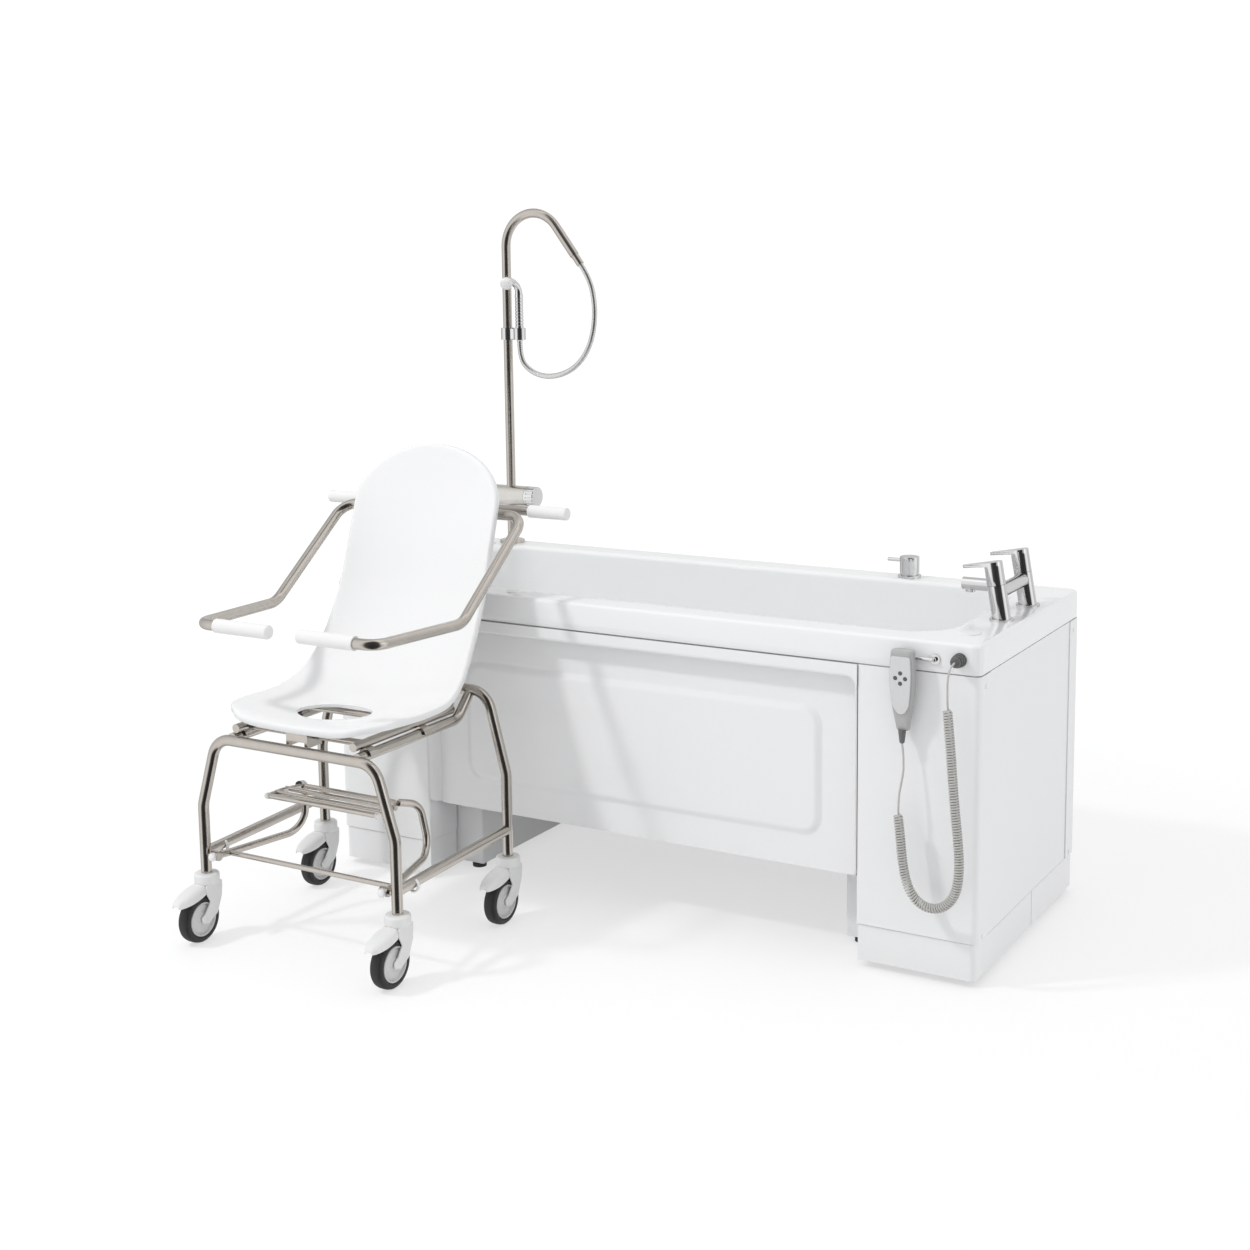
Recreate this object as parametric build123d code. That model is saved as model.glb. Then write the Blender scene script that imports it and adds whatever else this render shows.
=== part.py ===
from build123d import *
import math
import os

# Assisted bath with its wheeled transfer chair. Millimetres, Z up.
# The origin is on the floor under the middle of the bath, centre of its floor-bolt pattern.
# X runs along the bath towards the taps, Y towards the wall side, the chair stands in front.

os.makedirs("parts", exist_ok=True)

# Bath, overall
BATH_LENGTH = 1700.0
BATH_WIDTH = 690.0
RIM_TOP = 748.0
RIM_DEPTH = 66.0
SKIN = 5.0
SHEET = 5.0
SEAT_GAP = 0.3
RUN_GAP = 0.05
HALF_L = BATH_LENGTH / 2
HALF_W = BATH_WIDTH / 2
RIM_BOTTOM = RIM_TOP - RIM_DEPTH
LIFT = 180.0

# Tub basin
RIM_FRONT_WIDTH = 87.0
LEDGE_HEAD = 105.0
LEDGE_TAP = 115.0
BASIN_DEPTH = 418.0
BASIN_FLOOR_HALF_W = HALF_W - 180
BASIN_SLOPE_HEAD = 190.0
BASIN_SLOPE_TAP = 95.0
BASIN_CORNER_R = 105.0
DRAIN_R = 26.0
DRAIN_X = HALF_L - 420
OVERFLOW_R = 7.5

# Base, plinths and covers
PLINTH_GAP = 16.0
PLINTH_HEIGHT = 81.0
PLINTH_INSET = 3.0
PLINTH_JOINT_Y = 33.0
COVER_GAP = 2.0
PEDESTAL_WIDTH = 275.0
COVER_RETURN = 113.0
COVER_WRAP = 66.0
CORNER_R = 14.0
FRAME_TUBE = 40.0
FRAME_BOTTOM = 20.0
FRAME_HALF_W = HALF_W - 125
FRAME_REACH = 320.0
BOLT_X = HALF_L - 180
BOLT_Y = HALF_W - 100
BOLT_HOLE_R = 5.5
TAB_THICK = 6.0
COLUMN_X = HALF_L - 50
COLUMN_LONG = 180.0
COLUMN_DEEP = 66.0
COLUMN_WALL = 5.0
COLUMN_GAP = 0.5
SLEEVE_TOP = 500.0
RAM_BOTTOM = 270.0
HOUSING_INNER_X = HALF_L - 350
HOUSING_HALF_W = FRAME_HALF_W + 6
HOUSING_TOP = 300.0
LINK_Y = FRAME_HALF_W - 60
LINK_WIDTH = 60.0
PLINTH_TOP = PLINTH_GAP + PLINTH_HEIGHT
COVER_BOTTOM = PLINTH_TOP + COVER_GAP
COVER_TOP = RIM_BOTTOM - COVER_GAP

# Apron
BAND_HEIGHT = 24.0
APRON_RECESS = 38.0
APRON_BOTTOM = 194.0
APRON_CORNER_R = 22.0
RELIEF_DEPTH = 7.0
RELIEF_SIDE = 95.0
RELIEF_TOP_GAP = 86.0
RELIEF_BOTTOM_GAP = 72.0
RELIEF_R = 48.0

# Bath filler and rear rim knob
TAP_X = HALF_L - 47
TAP_Y = 12.0
TAP_CENTRES = 180.0
PILLAR_R = 20.5
PILLAR_HEIGHT = 130.0
PILLAR_LEAN = 10.0
PILLAR_SPLIT = 78.0
TAP_FLANGE_R = 27.0
BRIDGE_R = 16.0
BRIDGE_HEIGHT = 60.0
SPOUT_R = 14.5
SPOUT_REACH = 112.0
LEVER_REACH = 72.0
KNOB_X = HALF_L - 415
KNOB_Y = HALF_W - 40
KNOB_R = 24.0
KNOB_HEIGHT = 52.0
KNOB_BASE_R = 28.5
KNOB_BASE_HEIGHT = 11.0

# Shower column
COLUMN_PIPE_R = 12.5
RISER_X = -HALF_L + 102
RISER_Y = HALF_W - 40
RISER_FLANGE_R = 35.0
MIXER_R = 28.0
MIXER_HEIGHT = 132.0
MIXER_BODY_HALF = 56.0
MIXER_KNOB = 31.0
RISER_STRAIGHT_TOP = RIM_TOP + 819
RISER_BEND_R = 90.0
RISER_BEND_TURN = 143.0
RISER_TAIL = 98.0
NUT_R = 10.5
NUT_LENGTH = 30.0
HOLDER_Z = RIM_TOP + 582
HOLDER_OFFSET = 39.0
HOSE_R = 7.5

# Handset, hanger and gland on the front rim
HANDSET_X = HALF_L - 160
HANDSET_TOP = RIM_TOP - 18
HANDSET_LENGTH = 174.0
HANDSET_THICK = 27.0
HANDSET_BACK_Y = -HALF_W - 16
BUTTON_R = 4.6
BUTTON_Z = HANDSET_TOP - 59
BUTTON_SPREAD = 11.0
BUTTON_TRAVEL = 1.0
BUTTON_PROUD = 1.6
BUTTON_POCKET = 4.0
HANGER_X = HALF_L - 99
HANGER_Z = RIM_TOP - 38
HANGER_R = 4.0
GLAND_X = HALF_L - 45
GLAND_Z = RIM_TOP - 34
GLAND_R = 15.0
GLAND_LENGTH = 34.0

# Cords
LEAD_R = 2.4
CURL_OUTER_R = 11.0
CURLS = 60

# Transfer chair
CHAIR_X = -HALF_L + 320
DRAWN_FRONT_Y = -345.0
TRACK_HALF = 275.0
FRONT_LEG_Y = -898.0
REAR_LEG_Y = -473.0
TUBE_R = 12.5
RAIL_R = 12.0
CASTOR_TOP = 156.0
FRONT_KINK_Z = 318.0
REAR_KINK_Z = 354.0
FRONT_ARCH_Z = 480.0
REAR_ARCH_Z = 545.0
ARCH_HALF = TRACK_HALF - 50
ARCH_BEND_R = 55.0
KINK_BEND_R = 70.0
LOWER_RAIL_Z = 205.0
LOWER_RAIL_RISE = 14.0
UPPER_RAIL_W = 178.0
SPIGOT_R = 8.0
SPIGOT_LENGTH = 20.0

SEAT_RAIL_W = 167.0
SEAT_RAIL_R = 10.0
SEAT_RAIL_Z = 509.5
BACK_TUBE_R = 10.0
PUSH_BAR_R = 11.0
BACK_TUBE_W = 150.0
BACK_TUBE_Y = -366.0
PUSH_BAR_Y = -309.0
PUSH_BAR_Z = 950.0
PUSH_HALF = 354.0
PUSH_GRIP_LENGTH = 105.0
GRIP_R = 15.0
ARM_PIVOT_Y = -362.0
ARM_PIVOT_Z = 946.0
ARM_PIVOT_W = 162.0
ARM_PIN_R = 6.0
ARM_OUT_W = 268.0
ARM_LOW_Y = -628.0
ARM_LOW_Z = 741.0
ARM_FRONT_Y = -913.0
ARM_FRONT_Z = 746.0
ARM_GRIP_OUTER = 196.0
ARM_GRIP_INNER = 42.0
SHELL_THICK = 8.0
HOLE_HALF_X = 88.0
HOLE_HALF_Y = 80.0
HOLE_Y = -752.0

FOOT_PIVOT_Z = 200.0
FOOT_TUBE_R = 8.5
FOOT_W = TRACK_HALF - 32
FOOT_ROD_R = 6.0
FOOT_PIN_R = 5.0
SLAT_R = 6.0
SLATS = 4
SLAT_Z = 330.0
SLAT_FRONT_Y = -814.0
SLAT_REAR_Y = -710.0
SLAT_HALF = FOOT_W - 85

# Castor, measured from the middle of its stem
WHEEL_R = 55.0
WHEEL_WIDTH = 32.0
HUB_R = 39.0
TRAIL = 32.0
AXLE_R = 5.0
COLLAR_R = 29.0
COLLAR_HEIGHT = 25.0
CHEEK = 5.0
CHEEK_GAP = 1.5
PEDAL_REACH = 107.0
PEDAL_PIN_Y = -19.0
PEDAL_PIN_Z = 123.0
PEDAL_PIN_R = 3.0
CROWN_BOTTOM = 115.0


def block(x0, x1, y0, y1, z0, z1):
    """A box given by its two corners."""
    size = Box(abs(x1 - x0), abs(y1 - y0), abs(z1 - z0))
    return Pos((x0 + x1) / 2, (y0 + y1) / 2, (z0 + z1) / 2) * size


def rod(start, end, radius):
    """A straight round bar between two points."""
    start, end = Vector(*start), Vector(*end)
    plane = Plane(origin=start, z_dir=end - start)
    return extrude(plane * Circle(radius), (end - start).length)


def bent_tube(points, radii, radius):
    """A round bar swept along straight runs joined by tangent arcs."""
    path = FilletPolyline(*points, radius=radii)
    section = Plane(origin=path @ 0, z_dir=path % 0) * Circle(radius)
    return sweep(section, path=path)


def rounded_face(points, radius):
    """A flat outline with all its corners rounded alike."""
    face = make_face(Polyline(*points, close=True)).face()
    return face.fillet_2d(radius, face.vertices())


def flip_x(shape, about=0.0):
    """The same piece on the other side of the plane x = about."""
    return mirror(shape, about=Plane(origin=(about, 0, 0), z_dir=(1, 0, 0)))


def flip_y(shape):
    """The same piece on the wall side."""
    return mirror(shape, about=Plane.XZ)


def flip_chair(shape):
    """The same piece on the other side of the chair."""
    return flip_x(shape, CHAIR_X)


def round_plan(half_x, half_y, corner, z):
    """A rounded rectangle at height z."""
    return Pos(0, 0, z) * RectangleRounded(2 * half_x, 2 * half_y, corner)


def basin_plan(z, grow):
    """The basin's outline at height z, grown by the wall on the outside."""
    share = max(0.0, (RIM_TOP - z) / BASIN_DEPTH)
    ease = share ** 1.6
    x0 = -HALF_L + LEDGE_HEAD + BASIN_SLOPE_HEAD * ease - grow
    x1 = HALF_L - LEDGE_TAP - BASIN_SLOPE_TAP * ease + grow
    top_half = HALF_W - RIM_FRONT_WIDTH
    half_y = top_half + (BASIN_FLOOR_HALF_W - top_half) * ease + grow
    plan = RectangleRounded(x1 - x0, 2 * half_y, BASIN_CORNER_R)
    return Pos((x0 + x1) / 2, 0, z) * plan


def basin_solid(grow, drop):
    """The basin as a body of revolution-free loft, with a rounded foot."""
    bottom = RIM_TOP - BASIN_DEPTH - drop
    levels = [RIM_TOP + 1 - drop, RIM_TOP - 150, RIM_TOP - 290, bottom + 36]
    walls = loft([basin_plan(z, grow) for z in levels], ruled=True)
    lowest = basin_plan(levels[-1], grow)
    floor_plan = Pos(0, 0, bottom - levels[-1]) * offset(lowest, -34)
    return walls + loft([lowest, floor_plan], ruled=True)


def bath_tub():
    """Moulded tub: deck, skirt all round and the basin."""
    outer = extrude(round_plan(HALF_L, HALF_W, CORNER_R, RIM_BOTTOM), RIM_DEPTH)
    outer = fillet(outer.faces().sort_by(Axis.Z)[-1].edges(), 6)
    inside = round_plan(HALF_L - SKIN, HALF_W - SKIN, CORNER_R - SKIN, RIM_BOTTOM - 1)
    rim = outer - extrude(inside, RIM_DEPTH + 1 - SKIN)
    basin = basin_solid(SKIN, SKIN)
    drain = Pos(DRAIN_X, 0, RIM_TOP - BASIN_DEPTH) * Cylinder(DRAIN_R, 4 * SKIN)
    overflow = rod((HALF_L - 180, 0, RIM_TOP - 100), (HALF_L - 60, 0, RIM_TOP - 100), OVERFLOW_R + SEAT_GAP)
    return rim + basin - basin_solid(0, 0) - drain - overflow


def cradle():
    """Steel ring under the deck with the two column rams."""
    out_x, out_y = HALF_L - SKIN - 2.3, HALF_W - SKIN - SEAT_GAP
    z0, z1 = RIM_BOTTOM - 21 + SEAT_GAP, RIM_TOP - SKIN - SEAT_GAP
    ring_y = 27.0
    end_inner = COLUMN_X - COLUMN_DEEP / 2
    sides = [block(-out_x, out_x, s * (out_y - ring_y), s * out_y, z0, z1) for s in (-1, 1)]
    ends = [block(s * end_inner, s * out_x, -out_y, out_y, z0, z1) for s in (-1, 1)]
    slide = COLUMN_WALL + COLUMN_GAP
    ram_x, ram_y = COLUMN_DEEP - 2 * slide, COLUMN_LONG - 2 * slide
    ram = Rectangle(ram_x, ram_y) - Rectangle(ram_x - 10, ram_y - 10)
    rams = [extrude(Pos(s * COLUMN_X, 0, RAM_BOTTOM) * ram, z0 - RAM_BOTTOM) for s in (-1, 1)]
    corners = extrude(round_plan(out_x, out_y, CORNER_R, z0), z1 - z0)
    ring = (sides[0] + sides[1:] + ends) & corners
    return ring + rams


def base_frame():
    """Two floor frames joined by a channel along the wall side, with tabs for the floor bolts."""
    z0, z1 = FRAME_BOTTOM, FRAME_BOTTOM + FRAME_TUBE
    x1 = HALF_L - 20
    x0 = x1 - FRAME_REACH
    far_y = FRAME_HALF_W
    pieces = []
    for y in (-far_y, far_y - FRAME_TUBE):
        pieces.append(block(x0, x1, y, y + FRAME_TUBE, z0, z1))
    for x in (x0, x1 - FRAME_TUBE):
        pieces.append(block(x, x + FRAME_TUBE, -far_y, far_y, z0, z1))
    pad_y = COLUMN_LONG / 2 + 10
    pieces.append(block(COLUMN_X - COLUMN_DEEP / 2 - 8, x1, -pad_y, pad_y, z0, z1))
    for side in (-1, 1):
        tab = block(BOLT_X - 30, BOLT_X + 30, side * (far_y - 20), side * (BOLT_Y + 30), 0, TAB_THICK)
        hole = Pos(BOLT_X, side * BOLT_Y, TAB_THICK / 2) * Cylinder(BOLT_HOLE_R, 3 * TAB_THICK)
        pieces.append(tab - hole)
        pieces.append(block(BOLT_X - 25, BOLT_X + 25, side * (far_y - 20), side * far_y, 0, z0))
        plinth_face = HALF_W - PLINTH_INSET - SHEET
        pieces.append(block(BOLT_X + 50, BOLT_X + 80, side * far_y, side * plinth_face, z0 + 6, z1 - 6))
        clip_x = HALF_L - PLINTH_INSET - SHEET
        pieces.append(block(x1, clip_x, side * 150, side * 120, z0 + 6, z1 - 6))
    half = pieces[0] + pieces[1:]
    link = block(-x0, x0, LINK_Y, LINK_Y + LINK_WIDTH, z0, z1)
    return half + flip_x(half) + link


def levelling_feet():
    """Screwed feet under the corners of both floor frames."""
    feet = []
    for x in (HALF_L - 40, HALF_L - 20 - FRAME_REACH + 20):
        for y in (FRAME_HALF_W - 20, 20 - FRAME_HALF_W):
            pad = Pos(0, 0, 4) * Cylinder(18, 8) + Pos(0, 0, 14) * Cylinder(6, 12)
            feet += [Pos(x, y, 0) * pad, Pos(-x, y, 0) * pad]
    return feet


def column_sleeves():
    """Fixed outer tubes of the two lifting columns."""
    bore = Rectangle(COLUMN_DEEP - 2 * COLUMN_WALL, COLUMN_LONG - 2 * COLUMN_WALL)
    plan = Rectangle(COLUMN_DEEP, COLUMN_LONG) - bore
    z0 = FRAME_BOTTOM + FRAME_TUBE
    return [extrude(Pos(s * COLUMN_X, 0, z0) * plan, SLEEVE_TOP - z0) for s in (-1, 1)]


def column_housings():
    """Low fixed casings round the foot of each column, seen behind the covers."""
    x0, x1 = HOUSING_INNER_X, HALF_L - 12
    outer = block(x0, x1, -HOUSING_HALF_W, HOUSING_HALF_W, PLINTH_GAP, HOUSING_TOP)
    outer = fillet(outer.edges().filter_by(Axis.Z), 5)
    wall = 4.0
    inner_y = HOUSING_HALF_W - wall
    inner = block(x0 + wall, x1 - wall, -inner_y, inner_y, 0, HOUSING_TOP - wall)
    gap = 1.0
    slot = block(COLUMN_X - COLUMN_DEEP / 2 - gap, HALF_L, -COLUMN_LONG / 2 - gap,
                 COLUMN_LONG / 2 + gap, HOUSING_TOP - 20, HOUSING_TOP + 10)
    z0, z1 = FRAME_BOTTOM - 1, FRAME_BOTTOM + FRAME_TUBE + 1
    link_slot = block(x0 - 1, x0 + wall + 1, LINK_Y - SEAT_GAP, LINK_Y + LINK_WIDTH + SEAT_GAP, 0,
                      FRAME_BOTTOM + FRAME_TUBE + SEAT_GAP)
    clip_slots = block(0, HALF_L, inner_y - 1, HALF_W, z0, z1 - 2) - block(0, BOLT_X - 40, 0, HALF_W, 0, z1)
    tab_slots = clip_slots + flip_y(clip_slots) + block(x1 - wall - 1, HALF_L, -160, 160, z0, z1)
    housing = outer - inner - slot - link_slot - tab_slots
    return [housing, flip_x(housing)]


def plinth_piece(y_end):
    """One L-shaped length of plinth at the tap end, front half, ending at y_end on the end face."""
    x_out, y_out = HALF_L - PLINTH_INSET, HALF_W - PLINTH_INSET
    x_in = HALF_L - PEDESTAL_WIDTH + PLINTH_INSET
    plan = block(x_in, x_out, -y_out, y_end, PLINTH_GAP, PLINTH_TOP)
    plan = fillet(plan.edges().filter_by(Axis.Z).group_by(Axis.Y)[0].sort_by(Axis.X)[-1], CORNER_R)
    cut = block(x_in + SHEET, x_out - SHEET, SHEET - y_out, y_end + 1, 0, PLINTH_TOP + 1)
    back = block(x_in - 1, x_out - SHEET, -HALF_W + COVER_RETURN, y_end + 1, 0, PLINTH_TOP + 1)
    return plan - cut - back


def plinths(side):
    """Front and rear plinth pieces of one end, with their joint on the end face."""
    joint = 1.5
    front = plinth_piece(PLINTH_JOINT_Y - joint)
    rear = flip_y(plinth_piece(-PLINTH_JOINT_Y - joint))
    return [front, rear] if side > 0 else [flip_x(front), flip_x(rear)]


def front_cover():
    """Tap-end front cover: face, wrap on to the end and a return beside the apron."""
    x_in, z0, z1 = HALF_L - PEDESTAL_WIDTH, COVER_BOTTOM, COVER_TOP
    y_back = -HALF_W + COVER_RETURN
    outer = block(x_in, HALF_L, -HALF_W, y_back, z0, z1)
    corners = outer.edges().filter_by(Axis.Z).group_by(Axis.Y)[0].sort_by(Axis.X)
    outer = fillet(corners[-1], CORNER_R)
    inner = outer.edges().filter_by(Axis.Z).group_by(Axis.Y)[0].sort_by(Axis.X)[0]
    outer = fillet(inner, 4)
    cut = block(x_in + SHEET, HALF_L - SHEET, -HALF_W + SHEET, y_back + 1, z0 - 1, z1 + 1)
    cut = fillet(cut.edges().filter_by(Axis.Z).group_by(Axis.Y)[0].sort_by(Axis.X)[-1], CORNER_R - SHEET)
    bar_notch = block(x_in - 1, x_in + SHEET + 1, SHEET - HALF_W, -HALF_W + 33, RIM_BOTTOM - 22, z1 + 1)
    cut = cut + bar_notch + block(x_in - 1, x_in + SHEET + 1, -HALF_W + 54, y_back + 1, 300, z1 + 1)
    wrap_cut = block(HALF_L - SHEET - 2, HALF_L + 1, -HALF_W + COVER_WRAP, y_back + 1, z0 - 1, z1 + 1)
    return outer - cut - wrap_cut


def rear_cover():
    """Tap-end rear corner cover, a plain angle on the wall side."""
    piece = flip_y(front_cover())
    y_cut = HALF_W - COVER_RETURN - 1
    x_in = HALF_L - PEDESTAL_WIDTH
    return piece - block(x_in - 1, x_in + SHEET, y_cut, HALF_W - SHEET, 0, RIM_TOP)


def end_panels():
    """Flat end panels set in between the corner covers."""
    y = HALF_W - COVER_WRAP - 1
    panel = block(HALF_L - 7, HALF_L - 2, -y, y, COVER_BOTTOM, COVER_TOP)
    return [panel, flip_x(panel)]


def front_apron():
    """Front panel: flush band under the rim, a step back and a shallow rounded rectangle."""
    half = HALF_L - PEDESTAL_WIDTH - 1
    face_y = -HALF_W + APRON_RECESS
    z_band = COVER_TOP - BAND_HEIGHT
    band = block(-half, half, -HALF_W, -HALF_W + SHEET, z_band, COVER_TOP)
    step = block(-half, half, -HALF_W, face_y + SHEET, z_band, z_band + SHEET)
    panel = block(-half, half, face_y, face_y + SHEET, APRON_BOTTOM, z_band + SHEET)
    low = panel.edges().filter_by(Axis.Y).group_by(Axis.Z)[0]
    panel = fillet(low, APRON_CORNER_R)
    height = z_band - RELIEF_TOP_GAP - APRON_BOTTOM - RELIEF_BOTTOM_GAP
    middle = APRON_BOTTOM + RELIEF_BOTTOM_GAP + height / 2
    plan = Plane(origin=(0, face_y, middle), x_dir=(1, 0, 0), z_dir=(0, -1, 0))
    sketch = plan * RectangleRounded(2 * (half - RELIEF_SIDE), height, RELIEF_R)
    relief = extrude(sketch, RELIEF_DEPTH, taper=38)
    return band + step + panel + relief


def rear_panel():
    """Flat wall-side panel between the rear covers."""
    half = HALF_L - PEDESTAL_WIDTH - 1
    return block(-half, half, HALF_W - SHEET, HALF_W, APRON_BOTTOM, COVER_TOP)


def waste_and_overflow():
    """Drain flange, trap and the overflow pipe up the tap end."""
    floor_z = RIM_TOP - BASIN_DEPTH
    flange = Pos(DRAIN_X, 0, floor_z + 1.5) * Cylinder(DRAIN_R + 10, 3)
    grid = Pos(DRAIN_X, 0, floor_z - 30) * Cylinder(DRAIN_R - SEAT_GAP, 62)
    trap = Pos(DRAIN_X, 0, floor_z - 75) * Cylinder(38, 56)
    tail = rod((DRAIN_X, 0, floor_z - 90), (DRAIN_X, 0, floor_z - 133), 20)
    z_low = floor_z - 18
    slope_x = HALF_L - LEDGE_TAP
    over = bent_tube([(DRAIN_X, 0, z_low), (slope_x - 30, 0, z_low), (slope_x + 13, 0, RIM_TOP - 130),
                      (slope_x + 13, 0, RIM_TOP - 100)], [40, 12], 9)
    cap_x = basin_plan(RIM_TOP - 126, 0).bounding_box().max.X - SEAT_GAP - 1.8
    cover = Pos(cap_x - 2, 0, RIM_TOP - 100) * Rot(0, 90, 0) * Cylinder(26, 4)
    neck = rod((cap_x - 1, 0, RIM_TOP - 100), (slope_x + 15, 0, RIM_TOP - 100), OVERFLOW_R)
    return flange + grid + trap + tail + over + cover + neck


def blanking_caps():
    """Round caps on the deck and over the cover screws."""
    caps = []
    for x, y, radius in ((-0.4 * HALF_L, -HALF_W + 45, 16), (-HALF_L + 60, HALF_W - 83, 12),
                         (HALF_L - 60, -HALF_W + 105, 22)):
        cap = Pos(x, y, RIM_TOP + 1.5) * Cylinder(radius, 3)
        caps.append(chamfer(cap.edges().sort_by(Axis.Z)[-1], 1))
    for side in (-1, 1):
        for y in (-HALF_W + 38, HALF_W - 38):
            for z in (COVER_TOP - 26, COVER_BOTTOM + 8):
                dot = Rot(0, 90, 0) * Cylinder(5, 1.6)
                caps.append(Pos(side * (HALF_L + 0.8), y, z) * dot)
    return caps


def lean(shape, y):
    """Tips a tap pillar, drawn upright at the origin, back over its base at y."""
    return Pos(TAP_X, y, RIM_TOP) * Rot(0, -PILLAR_LEAN, 0) * shape


TAP_FRONT_Y = TAP_Y - TAP_CENTRES / 2
TAP_REAR_Y = TAP_Y + TAP_CENTRES / 2


def bath_taps():
    """Chrome filler body with bridge and spout, and the base of the rear rim knob."""
    body = None
    for y in (TAP_FRONT_Y, TAP_REAR_Y):
        flange = Pos(TAP_X, y, RIM_TOP + 2) * Cylinder(TAP_FLANGE_R, 4)
        pillar = lean(Pos(0, 0, PILLAR_SPLIT / 2) * Cylinder(PILLAR_R, PILLAR_SPLIT), y)
        below = block(TAP_X - 60, TAP_X + 60, y - 60, y + 60, RIM_TOP - 60, RIM_TOP)
        stem = lean(Pos(0, 0, PILLAR_SPLIT + 8) * Cylinder(8, 16), y)
        piece = flange + (pillar - below) + stem
        body = piece if body is None else body + piece
    shift = BRIDGE_HEIGHT * math.sin(math.radians(PILLAR_LEAN))
    bridge_x, bridge_z = TAP_X - shift, RIM_TOP + BRIDGE_HEIGHT
    bridge = rod((bridge_x, TAP_FRONT_Y, bridge_z), (bridge_x, TAP_REAR_Y, bridge_z), BRIDGE_R)
    spout_z = bridge_z - 3
    end_x = bridge_x - SPOUT_REACH
    spout = rod((bridge_x, TAP_Y, spout_z), (end_x, TAP_Y, spout_z), SPOUT_R)
    spout = spout + rod((end_x + 17, TAP_Y, spout_z), (end_x + 17, TAP_Y, spout_z - SPOUT_R - 4), 11)
    spout = spout - rod((end_x + 17, TAP_Y, spout_z - 10), (end_x + 17, TAP_Y, spout_z - 40), 8.5)
    knob_base = Pos(KNOB_X, KNOB_Y, RIM_TOP + 3) * Cylinder(KNOB_BASE_R, 6)
    top = KNOB_BASE_HEIGHT
    knob_base = knob_base + Pos(KNOB_X, KNOB_Y, RIM_TOP + top / 2) * Cylinder(KNOB_R - 2, top)
    knob_base = knob_base + Pos(KNOB_X, KNOB_Y, RIM_TOP + top + 8) * Cylinder(8, 16)
    return body + bridge + spout, knob_base


def tap_lever(y):
    """Upper turning part of a filler pillar with its lever to the left."""
    height = PILLAR_HEIGHT - PILLAR_SPLIT
    base = PILLAR_SPLIT + SEAT_GAP
    cap = Pos(0, 0, base + height / 2) * Cylinder(PILLAR_R, height)
    cap = fillet(cap.edges().sort_by(Axis.Z)[-1], 3)
    cap = cap - Pos(0, 0, base + 8) * Cylinder(8 + RUN_GAP, 17)
    top = base + height - 4
    blade = extrude(Pos(-LEVER_REACH / 2, 0, top - 11) * RectangleRounded(LEVER_REACH, 15, 7), 10)
    return lean(cap + blade, y)


def diverter_knob():
    """Turning knob on the rear rim with a short rod lever."""
    z0 = RIM_TOP + KNOB_BASE_HEIGHT + SEAT_GAP
    height = KNOB_HEIGHT - KNOB_BASE_HEIGHT
    knob = Pos(KNOB_X, KNOB_Y, z0 + height / 2) * Cylinder(KNOB_R, height)
    knob = fillet(knob.edges().sort_by(Axis.Z)[-1], 2.5)
    knob = knob - Pos(KNOB_X, KNOB_Y, z0 + 8) * Cylinder(8 + RUN_GAP, 17)
    rod_z = RIM_TOP + KNOB_HEIGHT - 11
    return knob + rod((KNOB_X, KNOB_Y, rod_z), (KNOB_X - KNOB_R - 33, KNOB_Y, rod_z), 4.5)


def riser_frame():
    """Start and end of the bent arm at the top of the shower column."""
    turn = math.radians(RISER_BEND_TURN)
    centre = Vector(RISER_X + RISER_BEND_R, RISER_Y, RISER_STRAIGHT_TOP)
    end = centre + Vector(-math.cos(turn), 0, math.sin(turn)) * RISER_BEND_R
    heading = Vector(math.sin(turn), 0, math.cos(turn))
    return centre, end, heading


def shower_column():
    """Rim flange, riser pipe with its bent arm, and the hose nut."""
    centre, bend_end, heading = riser_frame()
    tip = bend_end + heading * RISER_TAIL
    start = Vector(RISER_X, RISER_Y, RIM_TOP)
    split = Vector(RISER_X, RISER_Y, RISER_STRAIGHT_TOP)
    mid_turn = math.radians(RISER_BEND_TURN / 2)
    top = centre + Vector(-math.cos(mid_turn), 0, math.sin(mid_turn)) * RISER_BEND_R
    arc = ThreePointArc(split, top, bend_end)
    stem = rod(tuple(start), tuple(split), COLUMN_PIPE_R)
    bend = sweep(Plane(origin=arc @ 0, z_dir=arc % 0) * Circle(COLUMN_PIPE_R), path=arc)
    tail = rod(tuple(bend_end), tuple(tip), COLUMN_PIPE_R)
    nut = rod(tuple(tip), tuple(tip + heading * NUT_LENGTH), NUT_R)
    flange = Pos(RISER_X, RISER_Y, RIM_TOP + 4) * Cylinder(RISER_FLANGE_R, 8)
    flange = fillet(flange.edges().sort_by(Axis.Z)[-1], 3)
    mixer_z = RIM_TOP + MIXER_HEIGHT
    bar = rod((RISER_X - 60, RISER_Y, mixer_z), (RISER_X + 60, RISER_Y, mixer_z), MIXER_R)
    return (stem + flange - bar) + [bend, tail], nut


def shower_mixer():
    """Horizontal mixer body with spindles for its two end knobs."""
    z = RIM_TOP + MIXER_HEIGHT
    half = MIXER_BODY_HALF
    body = rod((RISER_X - half, RISER_Y, z), (RISER_X + half, RISER_Y, z), MIXER_R)
    reach = half + 20
    spindle = rod((RISER_X - reach, RISER_Y, z), (RISER_X + reach, RISER_Y, z), 8)
    return body + spindle


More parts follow.
